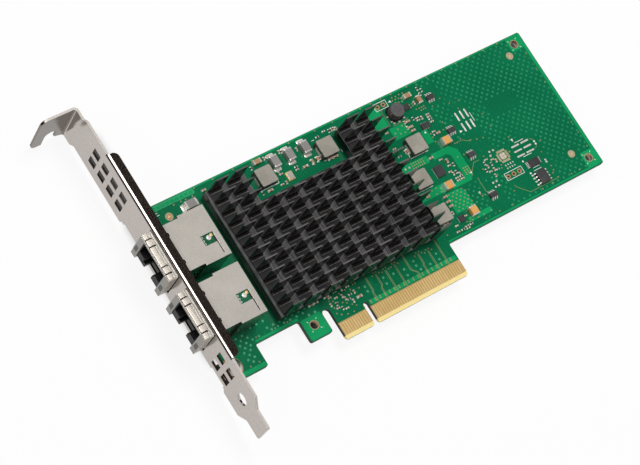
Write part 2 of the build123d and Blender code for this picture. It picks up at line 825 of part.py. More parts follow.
# Heat sink: a comb of tapered fins along x, cross-cut into blades, with a notch for the tall coils
with BuildPart() as heat_sink:
    with BuildSketch(Plane.YZ.offset(left_edge + sink_start)):
        with Locations(((sink_low_y + sink_high_y) / 2, sink_bottom_z + sink_base / 2)):
            Rectangle(sink_high_y - sink_low_y, sink_base)
        for row in range(fin_rows):
            blade_y = sink_low_y + fin_root / 2 + row * fin_row_pitch
            with BuildLine():
                Polyline(
                    (blade_y - fin_root / 2, sink_floor_z),
                    (blade_y + fin_root / 2, sink_floor_z),
                    (blade_y + fin_tip / 2, sink_floor_z + fin_height),
                    (blade_y - fin_tip / 2, sink_floor_z + fin_height),
                    close=True,
                )
            make_face()
    extrude(amount=sink_end - sink_start)
    sink_middle_y = (sink_low_y + sink_high_y) / 2
    sink_width = sink_high_y - sink_low_y
    first_blade_x = left_edge + first_fin
    with Locations((left_edge + sink_start, sink_middle_y, sink_floor_z)):
        Box(sink_ledge, sink_width, fin_height, align=low_corner, mode=Mode.SUBTRACT)
    channel_places = [first_blade_x + n * fin_column_pitch + fin_length for n in range(fin_columns - 1)]
    with Locations(*[(x, sink_middle_y, sink_floor_z - cross_cut_depth) for x in channel_places]):
        Box(
            fin_column_pitch - fin_length,
            sink_width,
            fin_height + cross_cut_depth,
            align=low_corner,
            mode=Mode.SUBTRACT,
        )
    with Locations((first_blade_x - ledge_groove, sink_middle_y, sink_floor_z - ledge_groove)):
        Box(ledge_groove, sink_width, ledge_groove, align=low_corner, mode=Mode.SUBTRACT)
    with Locations((left_edge + cutout_start, (cutout_low_y + sink_high_y) / 2, sink_bottom_z)):
        Box(
            cutout_end - cutout_start,
            sink_high_y - cutout_low_y,
            sink_base + fin_height,
            align=low_corner,
            mode=Mode.SUBTRACT,
        )
    with Locations(*[(x, y, top_face) for x, y in sink_screw_spots]):
        Box(boss_side, boss_side, sink_lift, align=(Align.CENTER, Align.CENTER, Align.MIN))
        Cylinder(
            sink_screw_radius + thread_clearance,
            sink_screw_grip + thread_clearance,
            align=(Align.CENTER, Align.CENTER, Align.MIN),
            mode=Mode.SUBTRACT,
        )
heat_sink.part.label = "heat_sink"
export_step(heat_sink.part, "parts/heat_sink.step")

# Heat sink screws, driven from the solder side into the sink's bosses
with BuildPart() as sink_screws:
    with Locations(*[(x, y, solder_face) for x, y in sink_screw_spots]):
        Cylinder(
            sink_screw_radius,
            board_thickness + sink_screw_grip,
            align=(Align.CENTER, Align.CENTER, Align.MIN),
        )
        Cylinder(
            sink_screw_head_radius,
            sink_screw_head_height,
            align=(Align.CENTER, Align.CENTER, Align.MAX),
        )
    with Locations(*[(x, y, solder_face - sink_screw_head_height) for x, y in sink_screw_spots]):
        Box(recess_span, recess_width, recess_depth, mode=Mode.SUBTRACT)
        Box(recess_width, recess_span, recess_depth, mode=Mode.SUBTRACT)
sink_screws.part.label = "heat_sink_screws"
export_step(sink_screws.part, "parts/heat_sink_screws.step")

# Controller: package on the board, die on the package, pad between die and heat sink
sink_center = (sink_center_x, (sink_low_y + cutout_low_y) / 2)
die_thickness = sink_lift - package_thickness - pad_thickness
centered_foot = (Align.CENTER, Align.CENTER, Align.MIN)
with BuildPart() as package:
    with Locations((*sink_center, top_face)):
        Box(package_side, package_side, package_thickness, align=centered_foot)
package.part.label = "controller_package"
export_step(package.part, "parts/controller_package.step")

with BuildPart() as die:
    with Locations((*sink_center, top_face + package_thickness)):
        Box(die_length, die_width, die_thickness, align=centered_foot)
die.part.label = "controller_die"
export_step(die.part, "parts/controller_die.step")

with BuildPart() as pad:
    with Locations((*sink_center, top_face + package_thickness + die_thickness)):
        Box(pad_side, pad_side, pad_thickness, align=centered_foot)
pad.part.label = "thermal_pad"
export_step(pad.part, "parts/thermal_pad.step")

# Power coils: a moulded block with its two feet let into the ends
for number, (x, y) in enumerate(coil_spots, start=1):
    with BuildPart() as coil:
        with Locations((x, y, top_face)):
            Box(coil_length, coil_width, coil_height, align=centered_foot)
        chamfer(coil.edges().filter_by(Axis.Z), coil_corner)
        with Locations((x - coil_length / 2, y, top_face), (x + coil_length / 2, y, top_face)):
            Box(
                2 * coil_foot_depth,
                coil_foot_width,
                coil_foot_height,
                align=centered_foot,
                mode=Mode.SUBTRACT,
            )
    coil.part.label = "power_coil_" + str(number)
    export_step(coil.part, "parts/power_coil_" + str(number) + ".step")

with BuildPart() as coil_feet:
    foot_x = (coil_length - coil_foot_depth) / 2
    with Locations(*[(x + s * foot_x, y, top_face) for x, y in coil_spots for s in (1, -1)]):
        Box(coil_foot_depth, coil_foot_width, coil_foot_height, align=centered_foot)
coil_feet.part.label = "power_coil_feet"
export_step(coil_feet.part, "parts/power_coil_feet.step")

# Two-ended parts: bodies in one node and their metal end caps in another
bead_middle = bead_length - 2 * bead_cap
with BuildPart() as beads:
    with Locations(*[(x, y, top_face) for x, y in bead_spots]):
        Box(bead_width, bead_middle, bead_height, align=centered_foot)
    with Locations((*lone_bead_spot, top_face)):
        Box(bead_middle, bead_width, bead_height, align=centered_foot)
beads.part.label = "ferrite_beads"
export_step(beads.part, "parts/ferrite_beads.step")

with BuildPart() as bead_caps:
    cap_offset = (bead_length - bead_cap) / 2
    with Locations(*[(x, y + s * cap_offset, top_face) for x, y in bead_spots for s in (1, -1)]):
        Box(bead_width, bead_cap, bead_height, align=centered_foot)
    lone_x, lone_y = lone_bead_spot
    with Locations(*[(lone_x + s * cap_offset, lone_y, top_face) for s in (1, -1)]):
        Box(bead_cap, bead_width, bead_height, align=centered_foot)
bead_caps.part.label = "ferrite_bead_caps"
export_step(bead_caps.part, "parts/ferrite_bead_caps.step")

passive_kinds = {
    "chip_capacitors": (
        level_passives, upright_passives, passive_length, passive_width, passive_height, passive_cap,
    ),
    "large_capacitors": (
        level_large_passives, upright_large_passives,
        large_passive_length, large_passive_width, large_passive_height, large_passive_cap,
    ),
    "tantalum_capacitors": (
        tantalum_spots, upright_tantalum_spots,
        tantalum_length, tantalum_width, tantalum_height, tantalum_terminal,
    ),
}
for kind_name, (level, upright, length, width, height, cap) in passive_kinds.items():
    with BuildPart() as bodies:
        with Locations(*[(x, y, top_face) for x, y in level]):
            Box(length - 2 * cap, width, height, align=centered_foot)
        with Locations(*[(x, y, top_face) for x, y in upright]):
            Box(width, length - 2 * cap, height, align=centered_foot)
    bodies.part.label = kind_name
    export_step(bodies.part, "parts/" + kind_name + ".step")

    with BuildPart() as ends:
        cap_offset = (length - cap) / 2
        with Locations(*[(x + s * cap_offset, y, top_face) for x, y in level for s in (1, -1)]):
            Box(cap, width, height, align=centered_foot)
        with Locations(*[(x, y + s * cap_offset, top_face) for x, y in upright for s in (1, -1)]):
            Box(width, cap, height, align=centered_foot)
    ends.part.label = kind_name + "_ends"
    export_step(ends.part, "parts/" + kind_name + "_ends.step")

# Crystal: ceramic tray and metal lid
with BuildPart() as crystal_tray:
    with Locations((*crystal_spot, top_face)):
        Box(crystal_width, crystal_length, crystal_base_height, align=centered_foot)
crystal_tray.part.label = "crystal_tray"
export_step(crystal_tray.part, "parts/crystal_tray.step")

with BuildPart() as crystal_lid:
    with Locations((*crystal_spot, top_face + crystal_base_height)):
        Box(
            crystal_width - 2 * crystal_rim,
            crystal_length - 2 * crystal_rim,
            crystal_lid_height,
            align=centered_foot,
        )
crystal_lid.part.label = "crystal_lid"
export_step(crystal_lid.part, "parts/crystal_lid.step")

# Drum coil: a base plate, a spool on it and the winding in the spool's waist
with BuildPart() as drum_base:
    with Locations((*drum_spot, top_face)):
        Box(drum_base_side, drum_base_side, drum_base_height, align=centered_foot)
    chamfer(drum_base.edges().filter_by(Axis.Z), drum_base_chamfer)
drum_base.part.label = "drum_coil_base"
export_step(drum_base.part, "parts/drum_coil_base.step")

spool_foot = top_face + drum_base_height
waist_height = drum_height - 2 * drum_flange
with BuildPart() as drum_spool:
    with Locations((*drum_spot, spool_foot)):
        Cylinder(drum_radius, drum_flange, align=centered_foot)
        Cylinder(drum_waist_radius, drum_height, align=centered_foot)
    with Locations((*drum_spot, spool_foot + drum_height - drum_flange)):
        Cylinder(drum_radius, drum_flange, align=centered_foot)
drum_spool.part.label = "drum_coil_spool"
export_step(drum_spool.part, "parts/drum_coil_spool.step")

with BuildPart() as drum_winding:
    with Locations((*drum_spot, spool_foot + drum_flange + winding_clearance)):
        Cylinder(drum_radius - drum_flange / 2, waist_height - 2 * winding_clearance, align=centered_foot)
        Cylinder(
            drum_waist_radius + winding_clearance,
            waist_height,
            align=centered_foot,
            mode=Mode.SUBTRACT,
        )
drum_winding.part.label = "drum_coil_winding"
export_step(drum_winding.part, "parts/drum_coil_winding.step")

# Leaded chips: a body that stands a little off the board, and flat leads beside and under it
def lead_spots(spot, body_width, lead_length, pitch, count):
    """Middle points of two rows of leads, one on each side of a body along y."""
    reach = (body_width + lead_length) / 2
    return [
        (spot[0] + (n - (count - 1) / 2) * pitch, spot[1] + s * reach, top_face)
        for n in range(count)
        for s in (1, -1)
    ]


with BuildPart() as small_chips:
    with Locations(*[(x, y, top_face + small_chip_stand) for x, y in small_chip_spots]):
        Box(small_chip_length, small_chip_width, small_chip_height - small_chip_stand, align=centered_foot)
small_chips.part.label = "regulator_chips"
export_step(small_chips.part, "parts/regulator_chips.step")

with BuildPart() as small_leads:
    places = []
    for spot in small_chip_spots:
        places += lead_spots(
            spot, small_chip_width, small_chip_lead_length, small_chip_lead_pitch, small_chip_lead_count
        )
    with Locations(*places):
        Box(
            small_chip_lead_width,
            small_chip_lead_length,
            small_chip_stand + small_chip_lead_thickness,
            align=centered_foot,
        )
small_leads.part.label = "regulator_chip_leads"
export_step(small_leads.part, "parts/regulator_chip_leads.step")

with BuildPart() as memory_chip:
    with Locations((*memory_spot, top_face + small_chip_stand)):
        Box(memory_width, memory_length, memory_height - small_chip_stand, align=centered_foot)
    chamfer(memory_chip.edges().filter_by(Axis.Y).group_by(Axis.Z)[-1], memory_chamfer)
memory_chip.part.label = "memory_chip"
export_step(memory_chip.part, "parts/memory_chip.step")

with BuildPart() as memory_leads:
    lead_reach = (memory_width + memory_lead_length) / 2
    with Locations((*memory_spot, top_face)):
        with GridLocations(2 * lead_reach, memory_lead_pitch, 2, memory_lead_count):
            Box(
                memory_lead_length,
                small_chip_lead_width,
                small_chip_stand + small_chip_lead_thickness,
                align=centered_foot,
            )
memory_leads.part.label = "memory_chip_leads"
export_step(memory_leads.part, "parts/memory_chip_leads.step")

with BuildPart() as flat_chip_group:
    for spot, length, width in flat_chips:
        with Locations((*spot, top_face)):
            Box(length, width, flat_chip_height, align=centered_foot)
flat_chip_group.part.label = "flat_chips"
export_step(flat_chip_group.part, "parts/flat_chips.step")
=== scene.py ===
"""Dresses the two-port network card: finishes, board graphics, small parts, light and camera.

Lengths are millimetres until a piece is made. A place on the component face is (x, y): x from the
board's bracket end, y up from the foot of the edge connector. Heights are above that face.
"""

import math
from functools import reduce

import bmesh
import bpy
import numpy as np
from mathutils import Matrix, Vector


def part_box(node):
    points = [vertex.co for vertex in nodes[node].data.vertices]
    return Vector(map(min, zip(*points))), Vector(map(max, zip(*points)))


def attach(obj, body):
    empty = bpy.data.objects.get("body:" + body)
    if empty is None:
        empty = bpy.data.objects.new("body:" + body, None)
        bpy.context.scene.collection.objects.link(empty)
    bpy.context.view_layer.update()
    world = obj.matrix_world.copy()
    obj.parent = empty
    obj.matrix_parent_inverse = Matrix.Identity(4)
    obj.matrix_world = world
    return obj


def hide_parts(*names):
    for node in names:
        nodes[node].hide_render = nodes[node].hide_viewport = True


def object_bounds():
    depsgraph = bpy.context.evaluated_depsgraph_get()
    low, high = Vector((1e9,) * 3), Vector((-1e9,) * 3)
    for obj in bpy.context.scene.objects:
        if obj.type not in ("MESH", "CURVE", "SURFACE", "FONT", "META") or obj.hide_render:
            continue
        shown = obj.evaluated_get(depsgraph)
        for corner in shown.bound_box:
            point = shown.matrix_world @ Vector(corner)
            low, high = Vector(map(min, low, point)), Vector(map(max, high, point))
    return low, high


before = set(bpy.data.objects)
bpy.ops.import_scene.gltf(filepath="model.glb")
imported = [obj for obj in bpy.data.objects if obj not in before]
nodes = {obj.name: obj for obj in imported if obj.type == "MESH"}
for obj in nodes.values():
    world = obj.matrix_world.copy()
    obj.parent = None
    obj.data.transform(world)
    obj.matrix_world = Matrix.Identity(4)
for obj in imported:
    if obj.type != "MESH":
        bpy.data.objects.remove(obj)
cad_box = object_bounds()
mm = 0.001


def corners(node):
    """Lowest and highest corner of a node, in millimetres."""
    low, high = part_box(node)
    return np.array(low) / mm, np.array(high) / mm


board_low, board_high = corners("circuit_board")
left, back_z, top_z = board_low[0], board_low[2], board_high[2]
board_top = board_high[1]


# Surfaces


def skin(sections, loop=False):
    """A surface over a grid: each row is a closed section and is joined to the next row.

    The first and last rows are capped, or joined to each other where loop is true."""
    rows, count = sections.shape[:2]
    index = np.arange(rows * count).reshape(rows, count)
    if loop:
        index = np.vstack([index, index[:1]])
    beside = np.roll(index, -1, axis=1)
    quads = np.stack([index[:-1], beside[:-1], beside[1:], index[1:]], axis=-1).reshape(-1, 4)
    caps = [] if loop else [index[:1, ::-1], index[-1:]]
    return sections.reshape(-1, 3), [quads, *caps]


def lifted(outline, *heights):
    """Rows of one flat outline at several heights."""
    return np.stack([np.column_stack([outline, np.full(len(outline), h)]) for h in heights])


def circle(radius, sides):
    """Points evenly round a circle: radius times (cos, sin)."""
    turn = np.arange(sides) * 2 * np.pi / sides
    return radius * np.column_stack([np.cos(turn), np.sin(turn)])


def rounded(width, height, radius, steps=2):
    """A rectangle with round corners: four corner centres plus radius times (cos, sin)."""
    turn = np.arange(4)[:, None] * np.pi / 2 + np.linspace(0, np.pi / 2, steps + 1)
    x = np.array([1, -1, -1, 1])[:, None] * (width / 2 - radius) + radius * np.cos(turn)
    y = np.array([1, 1, -1, -1])[:, None] * (height / 2 - radius) + radius * np.sin(turn)
    return np.column_stack([x.ravel(), y.ravel()])


def plate(outline, low, high):
    """A flat plate: the outline at two heights, with its walls and caps."""
    return skin(lifted(outline, low, high))


def ring(outer, inner, low, high, sides):
    """A flat ring: four circles, outer and inner at two heights, joined all round."""
    loops = ((outer, low), (outer, high), (inner, high), (inner, low))
    return skin(np.concatenate([lifted(circle(r, sides), h) for r, h in loops]), loop=True)


def turned(profile, sides):
    """A turned shape: each (radius, height) of the profile carried round the z axis."""
    return skin(np.concatenate([lifted(circle(r, sides), h) for r, h in profile]))


def block(length, width, height, radius, steps=2):
    """A box with rounded edges that stands on height 0.

    A ball's grid is pushed apart: point = radius * normal + sign * (half size - radius)."""
    rise = np.linspace(0, np.pi / 2, steps + 1)
    lat = np.concatenate([rise - np.pi / 2, rise])
    lat_sign = np.repeat([-1, 1], steps + 1)
    lon = (np.arange(4)[:, None] * np.pi / 2 + rise).ravel()
    sign_x = np.repeat([1, -1, -1, 1], steps + 1)
    sign_y = np.repeat([1, 1, -1, -1], steps + 1)
    flat = np.cos(lat)[:, None]
    x = radius * flat * np.cos(lon) + sign_x * (length / 2 - radius)
    y = radius * flat * np.sin(lon) + sign_y * (width / 2 - radius)
    z = radius * np.sin(lat) + lat_sign * (height / 2 - radius) + height / 2
    return skin(np.stack([x, y, np.broadcast_to(z[:, None], x.shape)], axis=-1))


def ribbon(path, width, low, high):
    """A flat strip along a path: both sides lie half a width off it, along each corner's mitre."""
    path = np.asarray(path, float)
    run = np.diff(path, axis=0)
    run /= np.linalg.norm(run, axis=1)[:, None]
    before, after = np.vstack([run[:1], run]), np.vstack([run, run[-1:]])
    lean = before + after
    normal = np.column_stack([-lean[:, 1], lean[:, 0]])
    normal /= np.linalg.norm(normal, axis=1)[:, None]
    reach = width / 2 / (normal[:, 1] * before[:, 0] - normal[:, 0] * before[:, 1])
    sides = [path - normal * reach[:, None], path + normal * reach[:, None]]
    loops = [(sides[0], low), (sides[1], low), (sides[1], high), (sides[0], high)]
    return skin(np.stack([np.column_stack([s, np.full(len(s), h)]) for s, h in loops], axis=1))


def band(path, width, thickness):
    """A bent strip of sheet: a path in (x, z) made thick along its normal and wide along y."""
    path = np.asarray(path, float)
    run = np.gradient(path, axis=0)
    normal = np.column_stack([-run[:, 1], run[:, 0]])
    normal *= thickness / np.linalg.norm(normal, axis=1)[:, None]
    inner, outer = path, path + normal
    half = np.full(len(path), width / 2)
    loops = [(inner, -half), (inner, half), (outer, half), (outer, -half)]
    return skin(np.stack([np.column_stack([p[:, 0], y, p[:, 1]]) for p, y in loops], axis=1))


def drawn(section, start, stop, along):
    """A bar: a closed section in two axes, drawn along the third from start to stop."""
    return skin(np.stack([np.insert(section, along, place, axis=1) for place in (start, stop)]))


def holed(x0, x1, y0, y1, hole, radius, high):
    """A rectangular plate with a round hole: each ray from its centre ends on the nearest side."""
    ray = circle(1.0, 48)
    span_x = np.where(ray[:, 0] > 0, x1 - hole[0], hole[0] - x0)
    span_y = np.where(ray[:, 1] > 0, y1 - hole[1], hole[1] - y0)
    reach = (np.column_stack([span_x, span_y]) / np.maximum(abs(ray), 1e-6)).min(axis=1)
    outer, inner = hole + ray * reach[:, None], hole + ray * radius
    loops = [lifted(outer, 0.0), lifted(outer, high), lifted(inner, high), lifted(inner, 0.0)]
    return skin(np.concatenate(loops), loop=True)


def spread(shape, places, turns=0.0):
    """Copies of a shape, each turned about z and moved to its place."""
    points, faces = shape
    places = np.asarray(places, float).reshape(-1, 3)
    turns = np.broadcast_to(turns, len(places))[:, None]
    x = points[:, 0] * np.cos(turns) - points[:, 1] * np.sin(turns)
    y = points[:, 0] * np.sin(turns) + points[:, 1] * np.cos(turns)
    z = np.broadcast_to(points[:, 2], x.shape)
    moved = np.stack([x, y, z], axis=-1) + places[:, None, :]
    shift = np.arange(len(places)) * len(points)
    copies = [(f[None] + shift[:, None, None]).reshape(-1, f.shape[1]) for f in faces]
    return moved.reshape(-1, 3), copies


def joined(shapes):
    """Several shapes as one: points stacked, faces renumbered."""
    shapes = list(shapes)
    starts = np.cumsum([0] + [len(points) for points, faces in shapes])
    faces = [f + start for (points, group), start in zip(shapes, starts) for f in group]
    return np.concatenate([points for points, group in shapes]), faces


def on_face(spots, height=0.0):
    """Board places (x, y) as points of the frame, at a height over the component face."""
    spots = np.asarray(spots, float).reshape(-1, 2)
    heights = np.full(len(spots), top_z + height)
    return np.column_stack([spots[:, 0] + left, spots[:, 1], heights])


def under_face(spots):
    """Board places (x, y) as points of the frame on the solder face."""
    return on_face(spots, back_z - top_z)


def placed(shape, spots=((0.0, 0.0),), turns=0.0):
    """Copies of a shape at board places on the component face, or the shape where it is drawn."""
    return spread(shape, on_face(spots), turns)


def strips(paths, width, high):
    """Flat strips along paths at board places, all of one width and height."""
    return joined(placed(ribbon(path, width, 0.0, high)) for path in paths)


def piece(name, shape, material, smooth=None, replaces=()):
    """Makes a shape into a mesh in metres that rides on the card; material names its finish."""
    points, faces = shape
    mesh = bpy.data.meshes.new(name)
    rows = [row for group in faces for row in group.tolist()]
    mesh.from_pydata((points * mm).tolist(), [], rows)
    shell = bmesh.new()
    shell.from_mesh(mesh)
    bmesh.ops.remove_doubles(shell, verts=shell.verts, dist=1e-7)
    bmesh.ops.dissolve_degenerate(shell, edges=shell.edges, dist=1e-8)
    bmesh.ops.recalc_face_normals(shell, faces=shell.faces)
    shell.to_mesh(mesh)
    shell.free()
    mesh.materials.append(finishes[material])
    if smooth:
        mesh.shade_smooth()
        mesh.set_sharp_from_angle(angle=math.radians(smooth))
    obj = bpy.data.objects.new(name, mesh)
    bpy.context.scene.collection.objects.link(obj)
    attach(obj, "root")
    if replaces:
        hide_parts(*replaces)


# Finishes

finishes = {}


class Field:
    """A socket in a material's node tree; arithmetic on it adds Math nodes."""

    def __init__(self, tree, socket):
        self.tree = tree
        self.socket = socket

    def node(self, kind, settings=None, inputs=None, out=0):
        """Any node: its type, its settings, then the values or links of its sockets."""
        new = self.tree.nodes.new(kind)
        for key, value in (settings or {}).items():
            setattr(new, key, value)
        for key, value in (inputs or {}).items():
            if isinstance(value, Field):
                self.tree.links.new(value.socket, new.inputs[key])
            else:
                new.inputs[key].default_value = value
        return Field(self.tree, new.outputs[out])

    def maths(self, operation, first, second=0.0):
        return self.node("ShaderNodeMath", {"operation": operation}, {0: first, 1: second})

    def __add__(self, other):
        return self.maths("ADD", self, other)

    __radd__ = __add__

    def __sub__(self, other):
        return self.maths("SUBTRACT", self, other)

    def __rsub__(self, other):
        return self.maths("SUBTRACT", other, self)

    def __mul__(self, other):
        return self.maths("MULTIPLY", self, other)

    __rmul__ = __mul__

    def __abs__(self):
        return self.maths("ABSOLUTE", self)

    def either(self, other):
        """The larger of two values."""
        return self.maths("MAXIMUM", self, other)

    def over(self, low, high):
        """0 below low, 1 above high, smooth between; turned round where low is the larger."""
        limits = {"Value": self, "From Min": low, "From Max": high}
        return self.node("ShaderNodeMapRange", {"interpolation_type": "SMOOTHSTEP"}, limits)

    def within(self, low, high, soft):
        """1 between low and high and 0 outside, smooth over a border inside each end."""
        return self.over(low, low + soft) * self.over(high, high - soft)

    def colour(self, first, second):
        """Mixes two colours by this value."""
        ends = [c if isinstance(c, Field) else (*c, 1.0) for c in (first, second)]
        sockets = {0: self, 6: ends[0], 7: ends[1]}
        return self.node("ShaderNodeMix", {"data_type": "RGBA"}, sockets, 2)

    def noise(self, scale, detail=2.0, stretch=None):
        """Noise over this place; stretch multiplies the axes first."""
        place = self
        if stretch:
            place = self.node("ShaderNodeMapping", None, {"Vector": self, "Scale": stretch})
        inputs = {"Vector": place, "Scale": scale, "Detail": detail}
        return place.node("ShaderNodeTexNoise", None, inputs)

    def bump(self, strength, depth):
        """A normal from this height; depth is in millimetres."""
        inputs = {"Height": self, "Strength": strength, "Distance": depth * mm}
        return self.node("ShaderNodeBump", None, inputs)

    def axis(self, which):
        """One coordinate of this place, in millimetres."""
        metres = self.node("ShaderNodeSeparateXYZ", None, {0: self}, "XYZ".index(which))
        return metres * (1 / mm)


def finish(name, look, **fixed):
    """A material: look gives what changes over the surface, fixed what is the same all over."""
    material = bpy.data.materials.new(name)
    material.use_nodes = True
    tree = material.node_tree
    shader = tree.nodes["Principled BSDF"]
    for key, value in fixed.items():
        shader.inputs[key.replace("_", " ")].default_value = value
    place = Field(tree, tree.nodes.new("ShaderNodeTexCoord").outputs["Object"])
    for key, value in look(place).items():
        tree.links.new(value.socket, shader.inputs[key])
    finishes[name] = material


# The connector's tongue: its ends along x, its top and the top of its bevel
tongue_ends = (-12.9, 39.9)
tongue_top = 6.22
bevel_top = 1.46
half_thick = (top_z - back_z) / 2


def board_look(place):
    """Green mask on both faces, bare laminate on the tongue and its bevel, side faces painted near
    black as painted shade.
    """
    x, y, z = (place.axis(which) for which in "XYZ")
    face = abs(z).over(half_thick - 0.013, half_thick - 0.003)
    tongue = x.within(*tongue_ends, 0.1)
    bare = tongue * y.over(tongue_top, tongue_top - 0.1)
    bevel = tongue * y.over(bevel_top, bevel_top - 0.04) * y.over(0.01, 0.04)
    weave = place.noise(2600.0, 2.0, (1.0, 0.25, 1.0))
    cloud = place.noise(45.0, 3.0)
    mask = cloud.over(0.3, 0.7).colour((0.0, 0.124, 0.049), (0.001, 0.158, 0.063))
    mask = (weave * 0.35).colour(mask, (0.002, 0.185, 0.076))
    # Painted shade: the side faces are near black, far darker than the same laminate on the tongue
    painted_edge = weave.colour((0.005, 0.005, 0.003), (0.022, 0.018, 0.010))
    laminate = weave.colour((0.46, 0.30, 0.12), (0.60, 0.41, 0.18))
    cream = weave.colour((0.90, 0.70, 0.26), (0.98, 0.83, 0.40))
    colour = face.colour(painted_edge, bare.colour(mask, laminate))
    return {
        "Base Color": bevel.colour(colour, cream),
        "Roughness": 0.20 + weave * 0.12 + (1 - face) * 0.35,
        "Normal": place.noise(700.0, 3.0).bump(0.10, 0.05),
    }


def copper_mask_look(place):
    """Mask over copper: a lighter green than over bare laminate."""
    cloud = place.noise(90.0, 3.0)
    return {
        "Base Color": cloud.over(0.3, 0.7).colour((0.001, 0.285, 0.092), (0.003, 0.345, 0.118)),
        "Roughness": 0.20 + cloud * 0.12,
        "Normal": place.noise(900.0, 3.0).bump(0.1, 0.05),
    }


def dot_mask_look(place):
    """Mask over the small copper dots that balance the plating, a shade under the pours."""
    cloud = place.noise(120.0, 2.0)
    return {
        "Base Color": cloud.over(0.35, 0.65).colour((0.006, 0.215, 0.088), (0.017, 0.275, 0.122)),
        "Roughness": 0.24 + cloud * 0.1,
    }


def trace_look(place):
    """Tracks that show olive through the mask."""
    cloud = place.noise(300.0, 2.0)
    return {
        "Base Color": cloud.colour((0.17, 0.27, 0.10), (0.30, 0.35, 0.16)),
        "Roughness": 0.32 + cloud * 0.15,
    }


# Pale cut edges of the bracket's sheet, painted as highlights: the flange's ends along y, then
# plate, tab and tail
flange_ends = (9.6, 86.9)
plate_edge_z = 15.0
tab_edge_y, tab_edge_z = 100.3, 13.25
tail_edge_y, tail_edge_z = -5.5, 10.9
# Where the folded tab starts, which is painted dark as a dim reflection
tab_y = 104.8
edge_blend = 0.15


def bracket_look(place):
    """Bright plated sheet: satin faces, pale cut edges painted as highlights, and a folded tab
    painted dark as a dim reflection.
    """
    y, z = place.axis("Y"), place.axis("Z")
    grain = place.noise(1700.0, 3.0)
    shade = grain.over(0.3, 0.7)
    painted_edge = z.over(plate_edge_z, plate_edge_z + edge_blend) * (1 - y.within(*flange_ends, 0.3))
    tab_edge = z.over(tab_edge_z, tab_edge_z + edge_blend) * y.over(tab_edge_y, tab_edge_y + 0.3)
    tail = y.over(tail_edge_y, tail_edge_y - 1.0)
    tail_edge = tail * z.over(tail_edge_z, tail_edge_z + edge_blend)
    painted_edge = painted_edge.either(tab_edge).either(tail_edge)
    # Painted reflection: the tab's plating is darkened to a dim brown-grey
    tab_dim_reflection = y.over(tab_y, tab_y + edge_blend)
    plating = shade.colour((0.440, 0.398, 0.368), (0.490, 0.445, 0.415))
    plating = tab_dim_reflection.colour(plating, shade.colour((0.15, 0.13, 0.115), (0.21, 0.185, 0.165)))
    # Painted highlight: the cut edges turn pale and matt
    pale_edge_highlight = grain.colour((0.50, 0.46, 0.42), (0.66, 0.62, 0.57))
    return {
        "Base Color": painted_edge.colour(plating, pale_edge_highlight),
        "Metallic": 1 - 0.85 * painted_edge,
        "Roughness": 0.14 + 0.3 * painted_edge + 0.12 * tab_dim_reflection,
    }


lid_height = corners("lower_jack_shield")[1][2]


def shield_look(place):
    """Tinned sheet: a satin lid with a fine speckle, sides painted darker as painted shade that
    mirror the board.
    """
    lid = place.axis("Z").over(lid_height - 0.12, lid_height - 0.04)
    speckle = place.noise(3400.0, 3.0)
    grain = 0.7 * speckle + 0.3 * place.noise(110.0, 2.0)
    satin = grain.over(0.33, 0.67).colour((0.44, 0.41, 0.365), (0.60, 0.56, 0.505))
    # Painted shade: the sides are the same tin as the lid at about half its colour
    return {
        "Base Color": lid.colour(grain.colour((0.20, 0.19, 0.17), (0.30, 0.285, 0.26)), satin),
        "Metallic": 0.95 - 0.6 * lid,
        "Roughness": 0.16 + 0.22 * lid + 0.12 * speckle,
        "Normal": speckle.bump(0.10, 0.02),
    }


sink_low, sink_high = corners("heat_sink")
blade_height = 9.1
cross_cut = 0.4
sink_floor = sink_high[2] - blade_height
ledge_end = sink_low[0] + 1.38


def sink_look(place):
    """Black anodised extrusion: glossy blades, floors painted paler as painted light from above,
    sawn cross cuts, worn tips that are also a painted highlight.
    """
    x, z = place.axis("X"), place.axis("Z")
    drawn_lines = place.noise(1300.0, 4.0, (0.06, 1.0, 0.6))
    sawn_lines = place.noise(3800.0, 3.0, (1.0, 0.02, 1.0))
    cloud = place.noise(70.0, 2.0)
    rise = z - sink_floor
    floor = rise.over(0.12, 0.03) * rise.over(-0.2, -0.1)
    cut = rise.within(-cross_cut - 0.06, -cross_cut + 0.06, 0.03)
    ledge = x.over(ledge_end, ledge_end - 0.1)
    tip = rise.over(blade_height - 0.04, blade_height - 0.01)
    body = drawn_lines.colour((0.0008, 0.0008, 0.0009), (0.0035, 0.0034, 0.0036))
    # Painted light: the channel floors are the same black coat as the blades, painted paler
    floor_painted_light = drawn_lines.colour((0.024, 0.0234, 0.024), (0.046, 0.0447, 0.0455))
    sawn = sawn_lines.over(0.35, 0.65).colour((0.05, 0.049, 0.05), (0.16, 0.156, 0.158))
    # Worn tips and painted highlight: the tips are lightened into thin bright lines
    worn_tip_highlight = cloud.over(0.3, 0.7).colour((0.07, 0.067, 0.065), (0.15, 0.143, 0.138))
    body = cut.either(ledge * floor).colour(floor.colour(body, floor_painted_light), sawn)
    return {
        "Base Color": tip.colour(body, worn_tip_highlight),
        "Roughness": 0.13 + 0.08 * drawn_lines + 0.3 * floor + 0.3 * cut,
    }


coil_top = corners("power_coil_1")[1][2]


def coil_look(place):
    """Pressed powder: a ground warm grey top with dark and tan specks, darker moulded sides."""
    top = place.axis("Z").over(coil_top - 0.5, coil_top - 0.2)
    grain = place.noise(2600.0, 4.0)
    speck = place.noise(1900.0, 1.0)
    cloud = place.noise(180.0, 2.0)
    body = cloud.over(0.3, 0.7).colour((0.29, 0.27, 0.23), (0.36, 0.335, 0.285))
    body = (grain.over(0.52, 0.7) * 0.6).colour(body, (0.17, 0.155, 0.135))
    body = (speck.over(0.66, 0.72) * 0.7).colour(body, (0.46, 0.31, 0.17))
    return {
        "Base Color": top.colour((0.045, 0.042, 0.036), body),
        "Roughness": 0.5 + grain * 0.25,
        "Normal": grain.bump(0.35, 0.05),
    }


